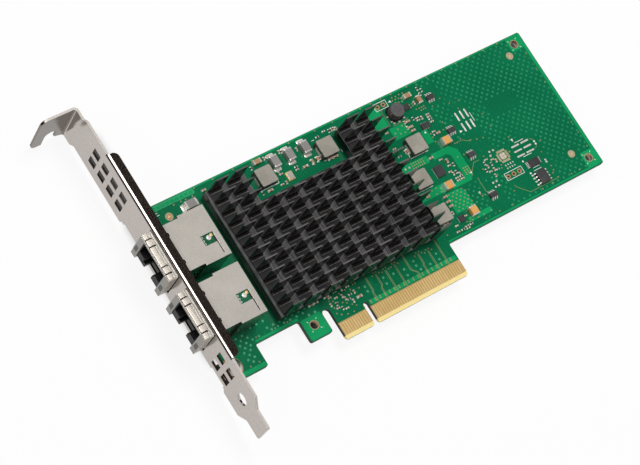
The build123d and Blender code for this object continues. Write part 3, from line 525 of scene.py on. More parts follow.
def grained(dark, light, scale, stretch, rough, rough_range, bump, depth):
    """A look with one grain: noise runs the colour between two shades and sets rough and relief."""

    def look(place):
        grain = place.noise(scale, 4.0, stretch)
        mixed = 0.55 * grain + 0.45 * place.noise(scale * 0.04, 2.0)
        return {
            "Base Color": mixed.over(0.3, 0.7).colour(dark, light),
            "Roughness": rough + rough_range * mixed,
            "Normal": grain.bump(bump, depth),
        }

    return look


finish("solder_mask", board_look, Specular_IOR_Level=0.36)
finish("mask_over_copper", copper_mask_look)
finish("mask_over_dots", dot_mask_look)
finish("tracks", trace_look)
finish("bracket_steel", bracket_look)
finish("shield_metal", shield_look)
finish("black_anodised", sink_look, Specular_IOR_Level=0.2)
finish("coil_compound", coil_look)

# Grained finishes: dark and light shade, grain scale, roughness and its range, the relief's
# strength and depth in millimetres, and how metallic it is
grained_finishes = {
    "mask_over_bright_dots": (
        (0.045, 0.33, 0.16), (0.12, 0.43, 0.25), 1400, 0.25, 0.12, 0.06, 0.02, 0,
    ),
    "inner_board_mask": ((0.0, 0.07, 0.03), (0.003, 0.13, 0.055), 900, 0.3, 0.15, 0.1, 0.04, 0),
    "gold_plate": ((0.76, 0.51, 0.19), (0.88, 0.64, 0.29), 1500, 0.28, 0.15, 0.12, 0.02, 0.35),
    "ringed_copper": ((0.40, 0.23, 0.12), (0.60, 0.39, 0.22), 2500, 0.35, 0.2, 0.1, 0.02, 0.25),
    "screw_steel": ((0.5, 0.48, 0.45), (0.68, 0.66, 0.63), 700, 0.22, 0.15, 0.08, 0.03, 1),
    "crystal_metal": ((0.52, 0.48, 0.43), (0.66, 0.62, 0.57), 3000, 0.3, 0.15, 0.08, 0.02, 0.4),
    "spring_metal": ((0.50, 0.45, 0.39), (0.58, 0.525, 0.46), 900, 0.34, 0.06, 0.01, 0.01, 0.25),
    "rib_metal": ((0.24, 0.222, 0.196), (0.32, 0.30, 0.268), 900, 0.32, 0.08, 0.02, 0.01, 0.3),
    "dull_tin": ((0.60, 0.57, 0.53), (0.78, 0.75, 0.71), 1600, 0.34, 0.2, 0.15, 0.03, 0.25),
    # Painted shade for the collars' slits, the lids' holes and the strips before the blades' feet
    "painted_shade_black": ((0.006, 0.005, 0.004), (0.016, 0.012, 0.010), 900, 0.6, 0.2, 0.1, 0.02, 0),
    "tinned_copper": ((0.40, 0.33, 0.20), (0.52, 0.44, 0.29), 1400, 0.35, 0.2, 0.08, 0.02, 0.15),
    "black_plastic": ((0.002, 0.002, 0.002), (0.006, 0.006, 0.006), 2400, 0.34, 0.2, 0.15, 0.03, 0),
    "chip_moulding": ((0.018, 0.018, 0.020), (0.055, 0.054, 0.056), 5200, 0.42, 0.2, 0.3, 0.03, 0),
    "dark_lens": ((0.006, 0.010, 0.007), (0.015, 0.022, 0.014), 400, 0.08, 0.08, 0.03, 0.02, 0),
    # Painted highlight for the heat sink's seams
    "seam_highlight_paint": ((0.12, 0.115, 0.113), (0.21, 0.202, 0.198), 500, 0.25, 0.15, 0.05, 0.02, 0),
    "grey_pad": ((0.15, 0.15, 0.16), (0.24, 0.24, 0.25), 1500, 0.7, 0.2, 0.2, 0.04, 0),
    "package_laminate": ((0.002, 0.06, 0.03), (0.006, 0.1, 0.05), 1200, 0.3, 0.15, 0.1, 0.03, 0),
    "polished_die": ((0.06, 0.06, 0.075), (0.1, 0.1, 0.12), 300, 0.08, 0.06, 0.02, 0.01, 0.7),
    "dark_ferrite": ((0.05, 0.048, 0.048), (0.105, 0.10, 0.10), 2000, 0.45, 0.2, 0.25, 0.04, 0),
    "bead_ferrite": ((0.20, 0.185, 0.18), (0.29, 0.275, 0.265), 2000, 0.4, 0.2, 0.2, 0.03, 0),
    "copper_wire": ((0.030, 0.014, 0.008), (0.075, 0.036, 0.018), 1500, 0.25, 0.15, 0.1, 0.02, 0.6),
    "solder_tin": ((0.60, 0.57, 0.53), (0.78, 0.75, 0.71), 1600, 0.26, 0.22, 0.2, 0.03, 0.45),
    "tan_ceramic": ((0.30, 0.17, 0.08), (0.44, 0.27, 0.14), 1800, 0.38, 0.2, 0.12, 0.02, 0),
    "amber_plastic": ((0.62, 0.30, 0.075), (0.76, 0.40, 0.12), 2600, 0.42, 0.2, 0.15, 0.02, 0),
    "white_legend": ((0.66, 0.68, 0.66), (0.86, 0.88, 0.86), 3000, 0.55, 0.2, 0.1, 0.01, 0),
    "dark_card": ((0.045, 0.032, 0.025), (0.055, 0.040, 0.031), 20, 0.9, 0.05, 0.05, 0.1, 0),
}
grain_stretch = {"gold_plate": (1.0, 0.15, 1.0)}
grain_shine = {"black_plastic": 0.3}
for name, (dark, light, scale, *grain, metal) in grained_finishes.items():
    look = grained(dark, light, scale, grain_stretch.get(name, (1.0, 1.0, 1.0)), *grain)
    finish(name, look, Metallic=metal, Specular_IOR_Level=grain_shine.get(name, 0.5))


def both_jacks(part, width):
    """A part of the lower and the upper jack, with the width of its soft edges or 0."""
    return {f"{side}_jack_{part}": width for side in ("lower", "upper")}


# Nodes by finish, each with the width of its soft edges or 0
dressing = {
    "solder_mask": {"circuit_board": 0},
    "gold_plate": {
        "edge_contacts_front": 0,
        "edge_contacts_back": 0,
        "crystal_tray": 0.08,
        **both_jacks("wires", 0),
    },
    "bracket_steel": {"bracket": 0.26},
    "screw_steel": {"bracket_screws": 0.15, "heat_sink_screws": 0.12},
    "shield_metal": both_jacks("shield", 0.1),
    "spring_metal": both_jacks("collar", 0.06),
    "inner_board_mask": both_jacks("inner_board", 0),
    "dark_lens": both_jacks("lights", 0.1),
    "black_plastic": {"drum_coil_base": 0.08, **both_jacks("insert", 0.12)},
    "chip_moulding": {"regulator_chips": 0.1, "memory_chip": 0.1, "flat_chips": 0.07},
    "black_anodised": {"heat_sink": 0.11},
    "grey_pad": {"thermal_pad": 0},
    "package_laminate": {"controller_package": 0},
    "polished_die": {"controller_die": 0},
    "coil_compound": {f"power_coil_{n}": 0.22 for n in range(1, 6)},
    "dull_tin": {"power_coil_feet": 0.12},
    "dark_ferrite": {"drum_coil_spool": 0},
    "copper_wire": {"drum_coil_winding": 0},
    "bead_ferrite": {"ferrite_beads": 0.1},
    "tan_ceramic": {"chip_capacitors": 0.06, "large_capacitors": 0.08},
    "amber_plastic": {"tantalum_capacitors": 0.15},
    "crystal_metal": {"crystal_lid": 0.1},
    "solder_tin": {
        "ferrite_bead_caps": 0.15,
        "chip_capacitors_ends": 0.08,
        "large_capacitors_ends": 0.12,
        "tantalum_capacitors_ends": 0.12,
        "regulator_chip_leads": 0,
        "memory_chip_leads": 0,
    },
}


def smooth_curves(sharp_angle):
    """A modifier's node group: every face shades smooth, and edges over the angle stay sharp."""
    group = bpy.data.node_groups.new("smooth_curves", "GeometryNodeTree")
    for way in ("INPUT", "OUTPUT"):
        group.interface.new_socket("Geometry", in_out=way, socket_type="NodeSocketGeometry")
    enter, leave = group.nodes.new("NodeGroupInput"), group.nodes.new("NodeGroupOutput")
    shape = Field(group, enter.outputs[0])
    angle = shape.node("GeometryNodeInputMeshEdgeAngle")
    limits = {0: angle, 1: sharp_angle}
    sharp = angle.node("FunctionNodeCompare", {"operation": "GREATER_THAN"}, limits)
    faces = {"Geometry": shape, "Shade Smooth": True}
    shape = shape.node("GeometryNodeSetShadeSmooth", {"domain": "FACE"}, faces)
    edges = {"Geometry": shape, "Selection": sharp, "Shade Smooth": False}
    shape = shape.node("GeometryNodeSetShadeSmooth", {"domain": "EDGE"}, edges)
    group.links.new(shape.socket, leave.inputs[0])
    return group


curve_shading = smooth_curves(math.radians(34))
curved_nodes = ("bracket", "bracket_screws", "heat_sink_screws", "drum_coil_base")
for material, widths in dressing.items():
    for name, width in widths.items():
        node = nodes[name]
        node.data.materials.clear()
        node.data.materials.append(finishes[material])
        if not width:
            continue
        node.modifiers.new("weld", "WELD").merge_threshold = 2e-6
        bevel = node.modifiers.new("soft_edges", "BEVEL")
        bevel.width = width * mm
        bevel.segments = 2
        bevel.limit_method = "ANGLE"
        bevel.angle_limit = math.radians(40)
        if name in curved_nodes:
            node.modifiers.new("smooth", "NODES").node_group = curve_shading
            node.modifiers.new("flat_faces", "WEIGHTED_NORMAL").keep_sharp = True

# Board graphics

# Heights of the thin layers over the board's face
pour_top = 0.03
dot_top = 0.022
track_top = 0.045
via_top = 0.05
silk_top = 0.06

# Pours of copper under the mask: x from, x to, y from, y to. Each stands a hair higher than the one
# before, so that no two lie in one plane.
pours = [
    (95.3, 100.6, 57.6, 66.2), (100.0, 106.6, 52.6, 57.3), (109.9, 112.7, 46.4, 51.7),
    (107.4, 117.6, 15.5, 17.4), (95.3, 106.8, 29.0, 32.1), (95.3, 106.8, 40.6, 43.4),
    (8.0, 24.2, 66.6, 68.2), (0.4, 13.7, 5.0, 6.5), (14.3, 31.5, 13.1, 14.0),
    (166.3, 167.4, 12.8, 68.6), (95.9, 166.3, 12.75, 13.35), (8.0, 160.9, 68.25, 68.7),
    (57.5, 95.0, 6.5, 8.1),
]
pour_shapes = []
for n, (x0, x1, y0, y1) in enumerate(pours):
    corner = min(0.4, 0.3 * (x1 - x0), 0.3 * (y1 - y0))
    outline = rounded(x1 - x0, y1 - y0, corner) + ((x0 + x1) / 2, (y0 + y1) / 2)
    pour_shapes.append(placed(plate(outline, 0.0, pour_top + 0.0004 * n)))
# A pour bent round the switching chip and one beside the last coil, with cut corners
bent_pour = [
    (107.0, 28.5), (117.2, 28.5), (119.0, 30.6), (119.0, 40.4), (116.4, 42.9), (108.6, 42.9),
    (108.6, 40.6), (114.2, 40.6), (115.4, 39.4), (115.4, 31.2), (114.4, 30.1), (107.0, 30.1),
]
coil_pour = [(104.6, 20.2), (112.6, 20.2), (112.6, 26.2), (110.6, 28.0), (104.6, 28.0)]
pour_shapes += [
    placed(plate(np.array(outline), 0.0, pour_top + 0.0002 * n))
    for n, outline in enumerate((bent_pour, coil_pour))
]
# Pours round the tooling holes at the far corners and in the hook
end_x = board_high[0] - left - 4.3
end_low, end_high, hook_hole = (end_x, 16.5), (end_x, board_top - 3.5), (35.7, 9.4)
tooling_spots = [end_low, end_high, hook_hole]
tooling_radius = 1.5
pour_shapes += [
    placed(holed(*area, np.array(hole), tooling_radius + 0.05, pour_top + 0.009))
    for area, hole in (
        ((160.9, 166.3, 12.75, 19.2), end_low),
        ((160.9, 166.3, 63.0, 68.7), end_high),
        ((31.9, 40.0, 4.9, 12.6), hook_hole),
    )
]
piece("copper_pours", joined(pour_shapes), "mask_over_copper")

# Copper dots on a staggered grid, left out where parts, pours or legends stand
clear_areas = np.array([
    (0.0, 118.0, 28.4, 70.0), (0.0, 112.8, 0.0, 28.4), (118.0, 125.2, 14.0, 25.6),
    (118.5, 131.9, 26.0, 43.8), (118.0, 125.2, 44.6, 50.5), (118.0, 124.6, 57.6, 65.6),
    (125.0, 131.8, 43.6, 55.6), (128.8, 149.2, 14.6, 34.8), (138.4, 152.2, 45.2, 51.7),
    (156.2, 160.7, 60.4, 64.0), (156.2, 160.7, 18.7, 22.3), (160.4, 168.0, 62.4, 70.0),
    (160.4, 168.0, 12.0, 19.8), (112.0, 118.2, 15.0, 18.0),
])
dot_rows, dot_columns, dot_limit = 42, 22, (165.9, 67.6)
row, column = np.divmod(np.arange(dot_rows * dot_columns), dot_columns)
dots = np.column_stack([112.6 + 2.65 * (column + row % 2 / 2), 14.25 + 1.298 * row])
past_low = dots[:, None, :] > clear_areas[:, ::2]
short_of_high = dots[:, None, :] < clear_areas[:, 1::2]
inside = (past_low & short_of_high).all(axis=2).any(axis=1)
dots = dots[~inside & (dots < dot_limit).all(axis=1)]
near_dots = [
    (8.9, 17.2), (11.4, 17.2), (10.1, 15.9), (12.7, 15.9), (8.9, 14.5), (11.4, 14.5),
    (10.1, 13.2), (12.3, 13.2), (8.9, 11.9), (11.4, 11.9), (10.2, 10.6), (8.9, 9.3),
    (11.4, 9.3), (10.2, 8.1), (20.5, 18.4), (15.3, 18.4), (17.9, 18.5), (20.5, 15.8),
    (23.0, 15.8), (25.5, 15.8), (28.0, 15.8), (30.6, 15.8), (33.2, 15.8), (35.7, 15.8),
    (14.0, 14.6), (16.5, 14.6), (21.7, 14.6), (24.2, 14.6), (26.7, 14.6), (29.2, 14.6),
    (31.8, 14.6), (34.3, 14.6), (35.9, 13.1), (38.4, 13.1), (59.1, 12.8), (59.1, 11.0),
    (66.8, 12.6), (66.8, 10.3), (70.9, 12.2), (75.3, 11.8), (75.3, 9.5), (80.0, 12.8),
    (80.0, 11.0), (80.8, 9.2), (85.0, 9.3), (89.0, 11.5), (89.0, 9.3),
]
dot_outline = rounded(0.84, 0.84, 0.26, 1)
dot = plate(dot_outline, 0.0, dot_top)
piece("copper_dots", placed(dot, dots), "mask_over_dots")
piece("near_dots", placed(dot, near_dots), "mask_over_bright_dots")

# Tracks: pairs up from the contacts with a small jog, and a few long ones
pair_x = np.array([61.0, 65.0, 69.0, 73.0, 77.5, 83.0, 87.0, 91.2])
pair_top = np.array([15.4, 15.0, 14.6, 14.8, 15.9, 14.3, 13.7, 16.2])
pair_jog = np.array([-0.4, -0.7, 0.0, 0.0, 1.7, -0.4, 0.0, 0.0])
jog_y, track_foot = 10.6, 6.1
pair_tracks = []
for pair, top, jog in zip(pair_x, pair_top, pair_jog):
    for x in (pair - 0.22, pair + 0.22):
        bend, foot = (x + jog, jog_y - abs(jog) - 0.01), (x + jog, track_foot)
        pair_tracks.append([(x, top), (x, jog_y), bend, foot])
long_tracks = [
    [(130.6, 20.0), (131.0, 19.0), (134.8, 15.2), (147.6, 15.2)],
    [(119.5, 28.2), (119.5, 22.5), (121.0, 21.4)],
    [(120.2, 42.6), (122.6, 42.6), (124.4, 41.4), (126.0, 41.2)],
    [(146.4, 32.2), (147.2, 31.8), (147.7, 31.0), (147.7, 29.4), (147.2, 28.6), (146.4, 28.2)],
    [(119.0, 31.0), (121.6, 33.6), (124.0, 33.6)],
    [(101.1, 58.2), (101.1, 64.0), (101.9, 64.6)],
    [(102.0, 57.7), (108.2, 57.7), (108.8, 58.3)],
]
tracks = [strips(pair_tracks, 0.17, track_top), strips(long_tracks, 0.16, track_top)]
piece("tracks", joined(tracks), "tracks")
rungs = np.arange(8.9, 24.0, 1.85)
ladder = [[(8.2, y), (23.8, y)] for y in (66.7, 68.2)] + [[(x, 66.7), (x, 68.2)] for x in rungs]
ladder_tracks = strips(ladder, 0.15, track_top)
piece("ladder_tracks", ladder_tracks, "mask_over_bright_dots")

# Vias: small plated rings, typed where they show, and in fields
via_spots = [
    (131.3, 68.3), (137.8, 68.3), (143.6, 68.3), (150.7, 68.3), (157.2, 68.3), (124.3, 68.3),
    (119.4, 68.4), (115.2, 68.3), (108.1, 68.3), (103.6, 68.3), (99.1, 68.3), (94.6, 68.3),
    (89.6, 68.3), (82.4, 68.2), (74.8, 68.2), (63.7, 68.2), (48.2, 68.2), (40.5, 68.2),
    (32.2, 68.2), (24.6, 68.2), (165.6, 60.4), (165.6, 53.9), (165.6, 48.1), (165.6, 30.8),
    (165.6, 26.3), (165.6, 20.5), (125.4, 14.2), (139.8, 14.2), (144.7, 14.4), (153.4, 14.2),
    (157.2, 14.2), (113.5, 14.2), (119.8, 14.3), (135.6, 47.7), (135.8, 42.5), (128.0, 40.5),
    (130.5, 40.0), (125.3, 41.2), (139.5, 36.1), (136.5, 31.3), (150.2, 30.0), (147.8, 26.1),
    (148.0, 20.1), (147.9, 18.4), (147.1, 17.6), (147.9, 15.4), (129.3, 18.2), (107.8, 67.0),
    (109.3, 66.8), (110.9, 67.0), (112.4, 66.9), (108.6, 65.9), (109.9, 65.8), (107.3, 65.9),
    (108.0, 64.8), (109.2, 64.5), (110.4, 64.2), (110.9, 65.4), (113.7, 59.5), (114.9, 59.4),
    (116.0, 59.4), (117.0, 59.5), (115.2, 58.4), (116.2, 58.5), (117.1, 58.5), (103.0, 56.0),
    (105.1, 56.5), (106.3, 55.8), (101.2, 55.0), (103.0, 54.1), (104.9, 53.9), (106.2, 54.6),
    (113.2, 49.4), (113.2, 48.0), (113.1, 46.2), (117.3, 37.9), (119.4, 42.6), (120.3, 42.5),
    (122.3, 43.2), (117.0, 22.6), (117.2, 21.7), (118.5, 21.7), (126.5, 56.4), (130.4, 55.8),
    (128.4, 53.3), (126.4, 34.0), (123.4, 30.0), (129.3, 33.2), (130.6, 28.4), (130.2, 27.4),
    (119.9, 58.0), (124.2, 59.4), (119.9, 51.3), (118.4, 48.8), (120.0, 37.7), (118.5, 30.0),
    (112.2, 62.0), (112.2, 60.9), (113.4, 62.0), (113.3, 61.2), (107.6, 18.4), (106.4, 16.2),
    (107.3, 15.8), (108.6, 15.9), (111.2, 15.9), (113.7, 15.8), (117.1, 15.9), (109.4, 16.7),
    (112.0, 19.4), (96.8, 15.3), (15.2, 66.0), (18.1, 66.0), (19.9, 66.0), (22.6, 66.0), (8.4, 7.1),
    (11.9, 7.1), (15.4, 14.7), (23.0, 14.4), (27.8, 14.4), (32.6, 16.2), (34.0, 16.2), (44.8, 14.0),
    (46.0, 13.4), (47.4, 12.4), (48.9, 11.6), (50.2, 10.8), (51.6, 9.6), (52.8, 8.6), (50.8, 7.2),
    (48.4, 7.4), (46.2, 8.2), (44.9, 9.2), (53.8, 14.2), (52.0, 15.0), (49.4, 14.8), (55.6, 15.3),
    (57.0, 13.4), (45.2, 11.2), (54.9, 7.0), (56.6, 15.4),
]
via_spots += [
    (105.9 + 1.9 * c + 0.95 * (r % 2), 20.9 + 1.08 * r) for r in range(7) for c in range(4)
]
via_spots += [(x, y) for y in (31.0, 31.8, 32.6, 33.5) for x in (116.7, 117.75, 118.75)]
via_spots += [(99.9 + 0.95 * n, y) for y in (41.1, 42.05, 42.95) for n in range(6)]
via_spots += [(101.1, 31.4), (102.1, 29.6), (103.1, 31.5), (104.1, 29.6)]
fan = np.array([(-1.5, -0.2), (-0.6, 0.6), (0.55, 0.6), (1.45, -0.15)])
fan_vias = (np.column_stack([pair_x, pair_top])[[1, 2, 3, 5, 6], None, :] + fan).reshape(-1, 2)
all_vias = np.vstack([via_spots, fan_vias])
via_radius, via_bore, via_sides = 0.24, 0.09, 10
via_rings = placed(ring(via_radius, via_bore, 0.0, via_top, via_sides), all_vias)
piece("vias", via_rings, "ringed_copper")
via_floor = placed(plate(circle(0.1, 8), 0.0, pour_top), all_vias)
piece("via_floors", via_floor, "mask_over_copper")

# Small gold pads over the contacts, two millimetres apart in twos
root_x = 58.0 + 2.04 * np.arange(18)
root_pads = np.column_stack([np.repeat(root_x, 2), np.tile([7.15, 7.85], 18)])
root_rings = placed(ring(0.26, 0.1, 0.0, via_top, via_sides), root_pads)
piece("contact_vias", root_rings, "ringed_copper")

# Fiducials: two bare discs with a bright middle, and an eye in two rings
fiducials = np.array([(158.9, 62.2), (158.0, 20.5)])
disc_shape = turned([(1.42, 0.0), (1.42, 0.035), (1.3, 0.05)], 32)
eye_spot = [(11.6, 63.1)]
eye_rings = joined([
    placed(disc_shape, fiducials),
    placed(ring(1.42, 1.02, 0.0, 0.05, 28), eye_spot),
])
eye_ring = placed(ring(1.0, 0.48, 0.0, 0.035, 28), eye_spot)
piece("eye_ring", eye_ring, "ringed_copper")
piece("fiducials", eye_rings, "tinned_copper", smooth=30)
eye = joined([
    placed(turned([(0.45, 0.0), (0.45, 0.07), (0.3, 0.1)], 20), eye_spot),
    placed(turned([(0.36, 0.03), (0.36, 0.053), (0.2, 0.058)], 16), fiducials),
])
piece("fiducial_eyes", eye, "gold_plate", smooth=30)

# Plated linings of the open holes, and rings round the header holes
header_spots = [(100.71, 66.1), (103.25, 66.1), (130.51, 23.6), (133.05, 23.6), (135.59, 23.6)]
thick = top_z - back_z
linings = joined([
    placed(ring(1.499, 1.43, -thick + 0.01, -0.01, 40), tooling_spots),
    placed(ring(0.509, 0.44, -thick - 0.04, 0.04, 20), header_spots),
    placed(ring(0.88, 0.5, 0.0, 0.05, 20), header_spots),
    spread(ring(0.88, 0.5, -0.05, 0.0, 20), under_face(header_spots)),
])
piece("hole_linings", linings, "ringed_copper", smooth=40)
rims = placed(ring(1.66, 1.5, 0.0, 0.05, 40), tooling_spots)
piece("hole_rims", rims, "tinned_copper")

# White legend: part outlines, arrow heads, ticks and dots
strokes = [
    [(101.0, 44.62), (108.6, 44.62)], [(101.0, 44.62), (101.0, 46.2)],
    [(95.4, 32.75), (102.6, 32.75)],
    [(44.9, 57.3), (52.6, 57.3)], [(52.6, 57.3), (52.6, 58.0)],
    [(131.4, 46.8), (131.4, 50.3)],
    [(140.2, 33.25), (144.2, 33.25)], [(140.2, 27.35), (144.0, 27.35)],
    [(140.6, 15.85), (144.2, 15.85)], [(140.6, 21.2), (144.2, 21.2)],
    [(141.0, 22.3), (144.0, 22.3)],
    [(7.9, 65.0), (8.9, 65.0)], [(7.9, 65.9), (8.6, 65.9)],
    [(15.0, 18.9), (16.2, 18.9)], [(17.1, 19.1), (18.0, 19.1)],
    [(71.5, 65.4), (72.6, 65.4)], [(71.5, 57.2), (72.6, 57.2)], [(79.6, 57.2), (79.6, 58.4)],
]
for x0, x1, y0, y1 in ((99.5, 104.8, 64.75, 67.45), (129.4, 137.1, 22.3, 25.0)):
    frame_corners = [(x0, y0), (x1, y0), (x1, y1), (x0, y1), (x0, y0)]
    strokes += zip(frame_corners, frame_corners[1:])
legend = [strips(strokes, 0.2, silk_top)]
arrow = plate(np.array([(0.6, -0.5), (0.6, 0.5), (-0.6, 0.0)]), 0.0, silk_top)
arrow_spots = [(106.0, 66.05), (124.3, 45.5), (140.0, 34.4)]
legend.append(placed(arrow, arrow_spots, [0.0, math.pi, math.pi / 2]))
marks = [(139.0, 26.0), (139.0, 21.0), (111.6, 50.7), (147.6, 30.6), (147.6, 29.6), (118.5, 30.9)]
legend.append(placed(plate(circle(0.36, 14), 0.0, silk_top), marks))
tick = ribbon([(1.55, 1.55), (1.95, 1.95)], 0.22, 0.0, silk_top)
legend += [placed(tick, tooling_spots, turn) for turn in np.arange(4) * math.pi / 2]
piece("white_legend", joined(legend), "white_legend")


def facing_rows(center, count, pitch, reach, along):
    """Places in two rows that face each other: steps along x or y, reach off the centre."""
    steps = np.tile((np.arange(count) - (count - 1) / 2) * pitch, 2)
    sides = np.repeat([reach, -reach], count)
    return center + np.column_stack([steps, sides] if along == "x" else [sides, steps])


def cushion(width, height, rise):
    """A tinned pad: a rounded outline that shrinks a little as it rises."""
    outline = rounded(width, height, 0.25 * min(width, height))
    steps = ((1.0, 0.0), (1.0, 0.35), (0.93, 0.75), (0.8, 1.0))
    return skin(np.concatenate([lifted(outline * s, rise * h) for s, h in steps]))


def cushions(*rows):
    """Tinned pads on the component face, each row a width, a height, a rise and the places."""
    return joined(placed(cushion(*size), spots) for *size, spots in rows)


# Tinned pads: unfilled places, test pads and the lands of the beads and the drum coil
test_pads = [
    (123.8, 24.1), (125.3, 24.1), (123.8, 22.4), (125.3, 22.4), (147.3, 22.95), (147.3, 22.1),
    (96.8, 42.1), (98.5, 42.1), (117.0, 23.3), (129.4, 34.45), (131.1, 34.4), (128.9, 33.0),
]
chip_center = (133.35, 31.0)
column_pads = [(x, y) for x in (126.1, 128.2, 130.2) for y in (46.35, 50.65)]
bead_lands = [(x, y) for x in (54.83, 60.93, 67.53) for y in (61.6, 67.0)]
drum_lands = [(102.5, 59.3), (103.0, 58.4), (105.1, 58.2), (107.6, 58.7), (102.1, 61.4)]
pads = cushions(
    (0.62, 3.4, 0.14, column_pads),
    (3.4, 0.62, 0.14, facing_rows((141.95, 30.2), 3, 2.0, 2.15, "y")),
    (0.72, 0.72, 0.12, test_pads),
    (0.8, 0.8, 0.1, facing_rows(chip_center, 2, 1.1, 0.55, "x")),
    (0.42, 0.6, 0.08, facing_rows((133.75, 26.9), 4, 1.1, 0.6, "x")),
    (2.9, 1.4, 0.3, bead_lands),
    (1.5, 2.8, 0.3, [(17.4, 63.4), (22.6, 63.6)]),
    (0.9, 0.6, 0.3, drum_lands),
)
piece("tinned_pads", pads, "solder_tin", smooth=40)
place_pads = cushions(
    (0.5, 0.85, 0.05, facing_rows(chip_center, 6, 0.6, 1.95, "x")),
    (0.85, 0.5, 0.05, facing_rows(chip_center, 5, 0.6, 1.95, "y")),
    (2.6, 2.6, 0.05, [chip_center]),
)
piece("chip_place_pads", place_pads, "tinned_copper", smooth=40)
# Rings round the bracket's screws, cut off at the board's end
screw_spots = [(2.7, 9.4), (2.7, 64.2)]
land_points, land_faces = placed(ring(3.55, 2.8, 0.0, 0.04, 40), screw_spots)
land_points[:, 0] = np.maximum(land_points[:, 0], left + 0.05)
piece("screw_lands", (land_points, land_faces), "ringed_copper")

# Small two-ended parts, each (x, y, upright): a body between two tinned ends on solder
small_parts = np.array([
    (54.9, 59.6, 0), (61.2, 59.7, 0), (53.2, 56.2, 0), (55.0, 56.2, 1), (45.3, 56.4, 1),
    (53.6, 67.1, 0), (77.4, 66.6, 0), (79.4, 66.0, 1), (80.4, 66.0, 1), (81.4, 66.0, 1),
    (118.2, 63.8, 1), (116.3, 56.2, 0), (116.3, 55.2, 0), (116.3, 54.3, 0), (116.3, 53.2, 0),
    (114.6, 49.7, 0), (114.6, 48.6, 0), (113.6, 56.0, 1), (111.5, 56.2, 1), (112.4, 56.2, 1),
    (110.8, 39.7, 0), (112.4, 36.5, 0), (114.2, 36.2, 1), (111.4, 34.4, 0), (112.1, 33.3, 1),
    (113.5, 33.4, 1), (114.3, 32.3, 1), (112.4, 31.4, 0), (114.3, 31.4, 0), (112.4, 30.4, 0),
    (114.3, 30.4, 0), (125.1, 31.5, 1), (126.3, 32.5, 0), (128.6, 31.6, 0), (127.4, 30.3, 1),
    (125.5, 30.0, 1), (129.7, 30.6, 1), (124.1, 29.0, 1), (125.4, 28.0, 0), (127.2, 28.2, 1),
    (128.5, 27.6, 0), (126.2, 26.0, 1), (101.1, 14.5, 0), (103.2, 14.5, 0), (104.7, 14.5, 1),
    (105.8, 14.5, 1), (107.3, 14.9, 0), (101.8, 16.6, 0), (103.2, 21.2, 1), (110.4, 57.0, 1),
    (106.6, 57.1, 1), (106.6, 54.9, 1), (119.6, 64.9, 1), (114.2, 61.9, 1), (106.9, 18.3, 0),
    (118.3, 66.0, 1), (44.6, 12.6, 1), (46.4, 10.6, 0), (47.9, 9.9, 1), (49.3, 9.2, 0),
    (50.5, 12.4, 1), (51.6, 11.6, 0), (47.6, 14.0, 0), (49.9, 13.6, 1), (52.8, 12.8, 0),
    (45.6, 15.0, 0), (53.4, 15.6, 0), (51.0, 15.8, 1), (48.3, 16.0, 0), (52.6, 10.4, 1),
    (46.6, 12.0, 1), (54.6, 13.0, 1), (98.2, 56.4, 0), (98.6, 30.4, 0), (100.4, 47.6, 1),
    (97.4, 50.2, 0), (97.6, 47.0, 0), (52.4, 67.0, 1), (58.6, 66.9, 1), (59.5, 66.6, 1),
    (64.9, 65.0, 1), (54.4, 60.2, 1), (46.4, 65.8, 1), (61.0, 58.6, 0), (70.9, 58.9, 1),
    (74.2, 65.8, 0), (82.2, 65.7, 1),
])
medium_parts = np.array([
    (38.3, 15.8, 0), (40.2, 15.8, 0), (44.7, 15.9, 0), (55.4, 10.8, 0), (48.2, 56.2, 0),
    (74.2, 57.0, 0), (76.2, 57.0, 0), (101.2, 47.4, 1), (45.9, 60.6, 1), (98.5, 19.0, 0),
    (67.4, 58.7, 1), (69.6, 58.8, 1), (64.4, 58.3, 0),
])


def two_ended(parts, length, width, height, cap):
    """Bodies and ends of two-ended parts: the body is shorter and thinner than its two caps."""
    turns = parts[:, 2] * math.pi / 2
    spots = on_face(parts[:, :2], 0.02)
    trunk = block(length - 1.4 * cap, width * 0.94, height * 0.94, 0.06 * width, 1)
    body = spread(trunk, spots, turns)
    along = np.column_stack([np.cos(turns), np.sin(turns), np.zeros(len(turns))])
    along *= (length - cap) / 2
    ends = np.vstack([spots + along, spots - along])
    caps = spread(block(cap, width, height, 0.16 * width, 1), ends, np.tile(turns, 2))
    feet = np.vstack([spots + 1.25 * along, spots - 1.25 * along])
    solder = spread(cushion(cap * 1.7, width * 1.25, height * 0.45), feet, np.tile(turns, 2))
    return body, joined([caps, solder])


dark_rows = np.arange(len(small_parts)) % 3 == 1
small_tan, small_tan_ends = two_ended(small_parts[~dark_rows], 1.05, 0.55, 0.5, 0.28)
small_dark, small_dark_ends = two_ended(small_parts[dark_rows], 1.05, 0.55, 0.36, 0.26)
medium, medium_ends = two_ended(medium_parts, 1.7, 0.9, 0.75, 0.4)
tan_bodies = joined([small_tan, medium])
piece("small_capacitor_bodies", tan_bodies, "tan_ceramic", smooth=50)
piece("small_resistor_bodies", small_dark, "chip_moulding", smooth=50)
small_ends = joined([small_tan_ends, small_dark_ends, medium_ends])
piece("small_part_ends", small_ends, "solder_tin", smooth=50)

# Chip leads: bent down from the body to a flat foot on solder
lead_path = np.array([
    (0.0, 0.62), (0.22, 0.62), (0.36, 0.55), (0.46, 0.14), (0.6, 0.03), (0.95, 0.03),
])
memory_path = np.array([
    (0.0, 0.8), (0.3, 0.8), (0.45, 0.72), (0.58, 0.2), (0.75, 0.03), (1.2, 0.03),
])


def bent_leads(path, width, thickness, center, count, pitch, reach, along):
    """Leads in two facing rows, each turned away from the chip's centre."""
    outward = [math.pi / 2, -math.pi / 2] if along == "x" else [0.0, math.pi]
    rows = facing_rows(center, count, pitch, reach, along)
    return placed(band(path, width, thickness), rows, np.repeat(outward, count))


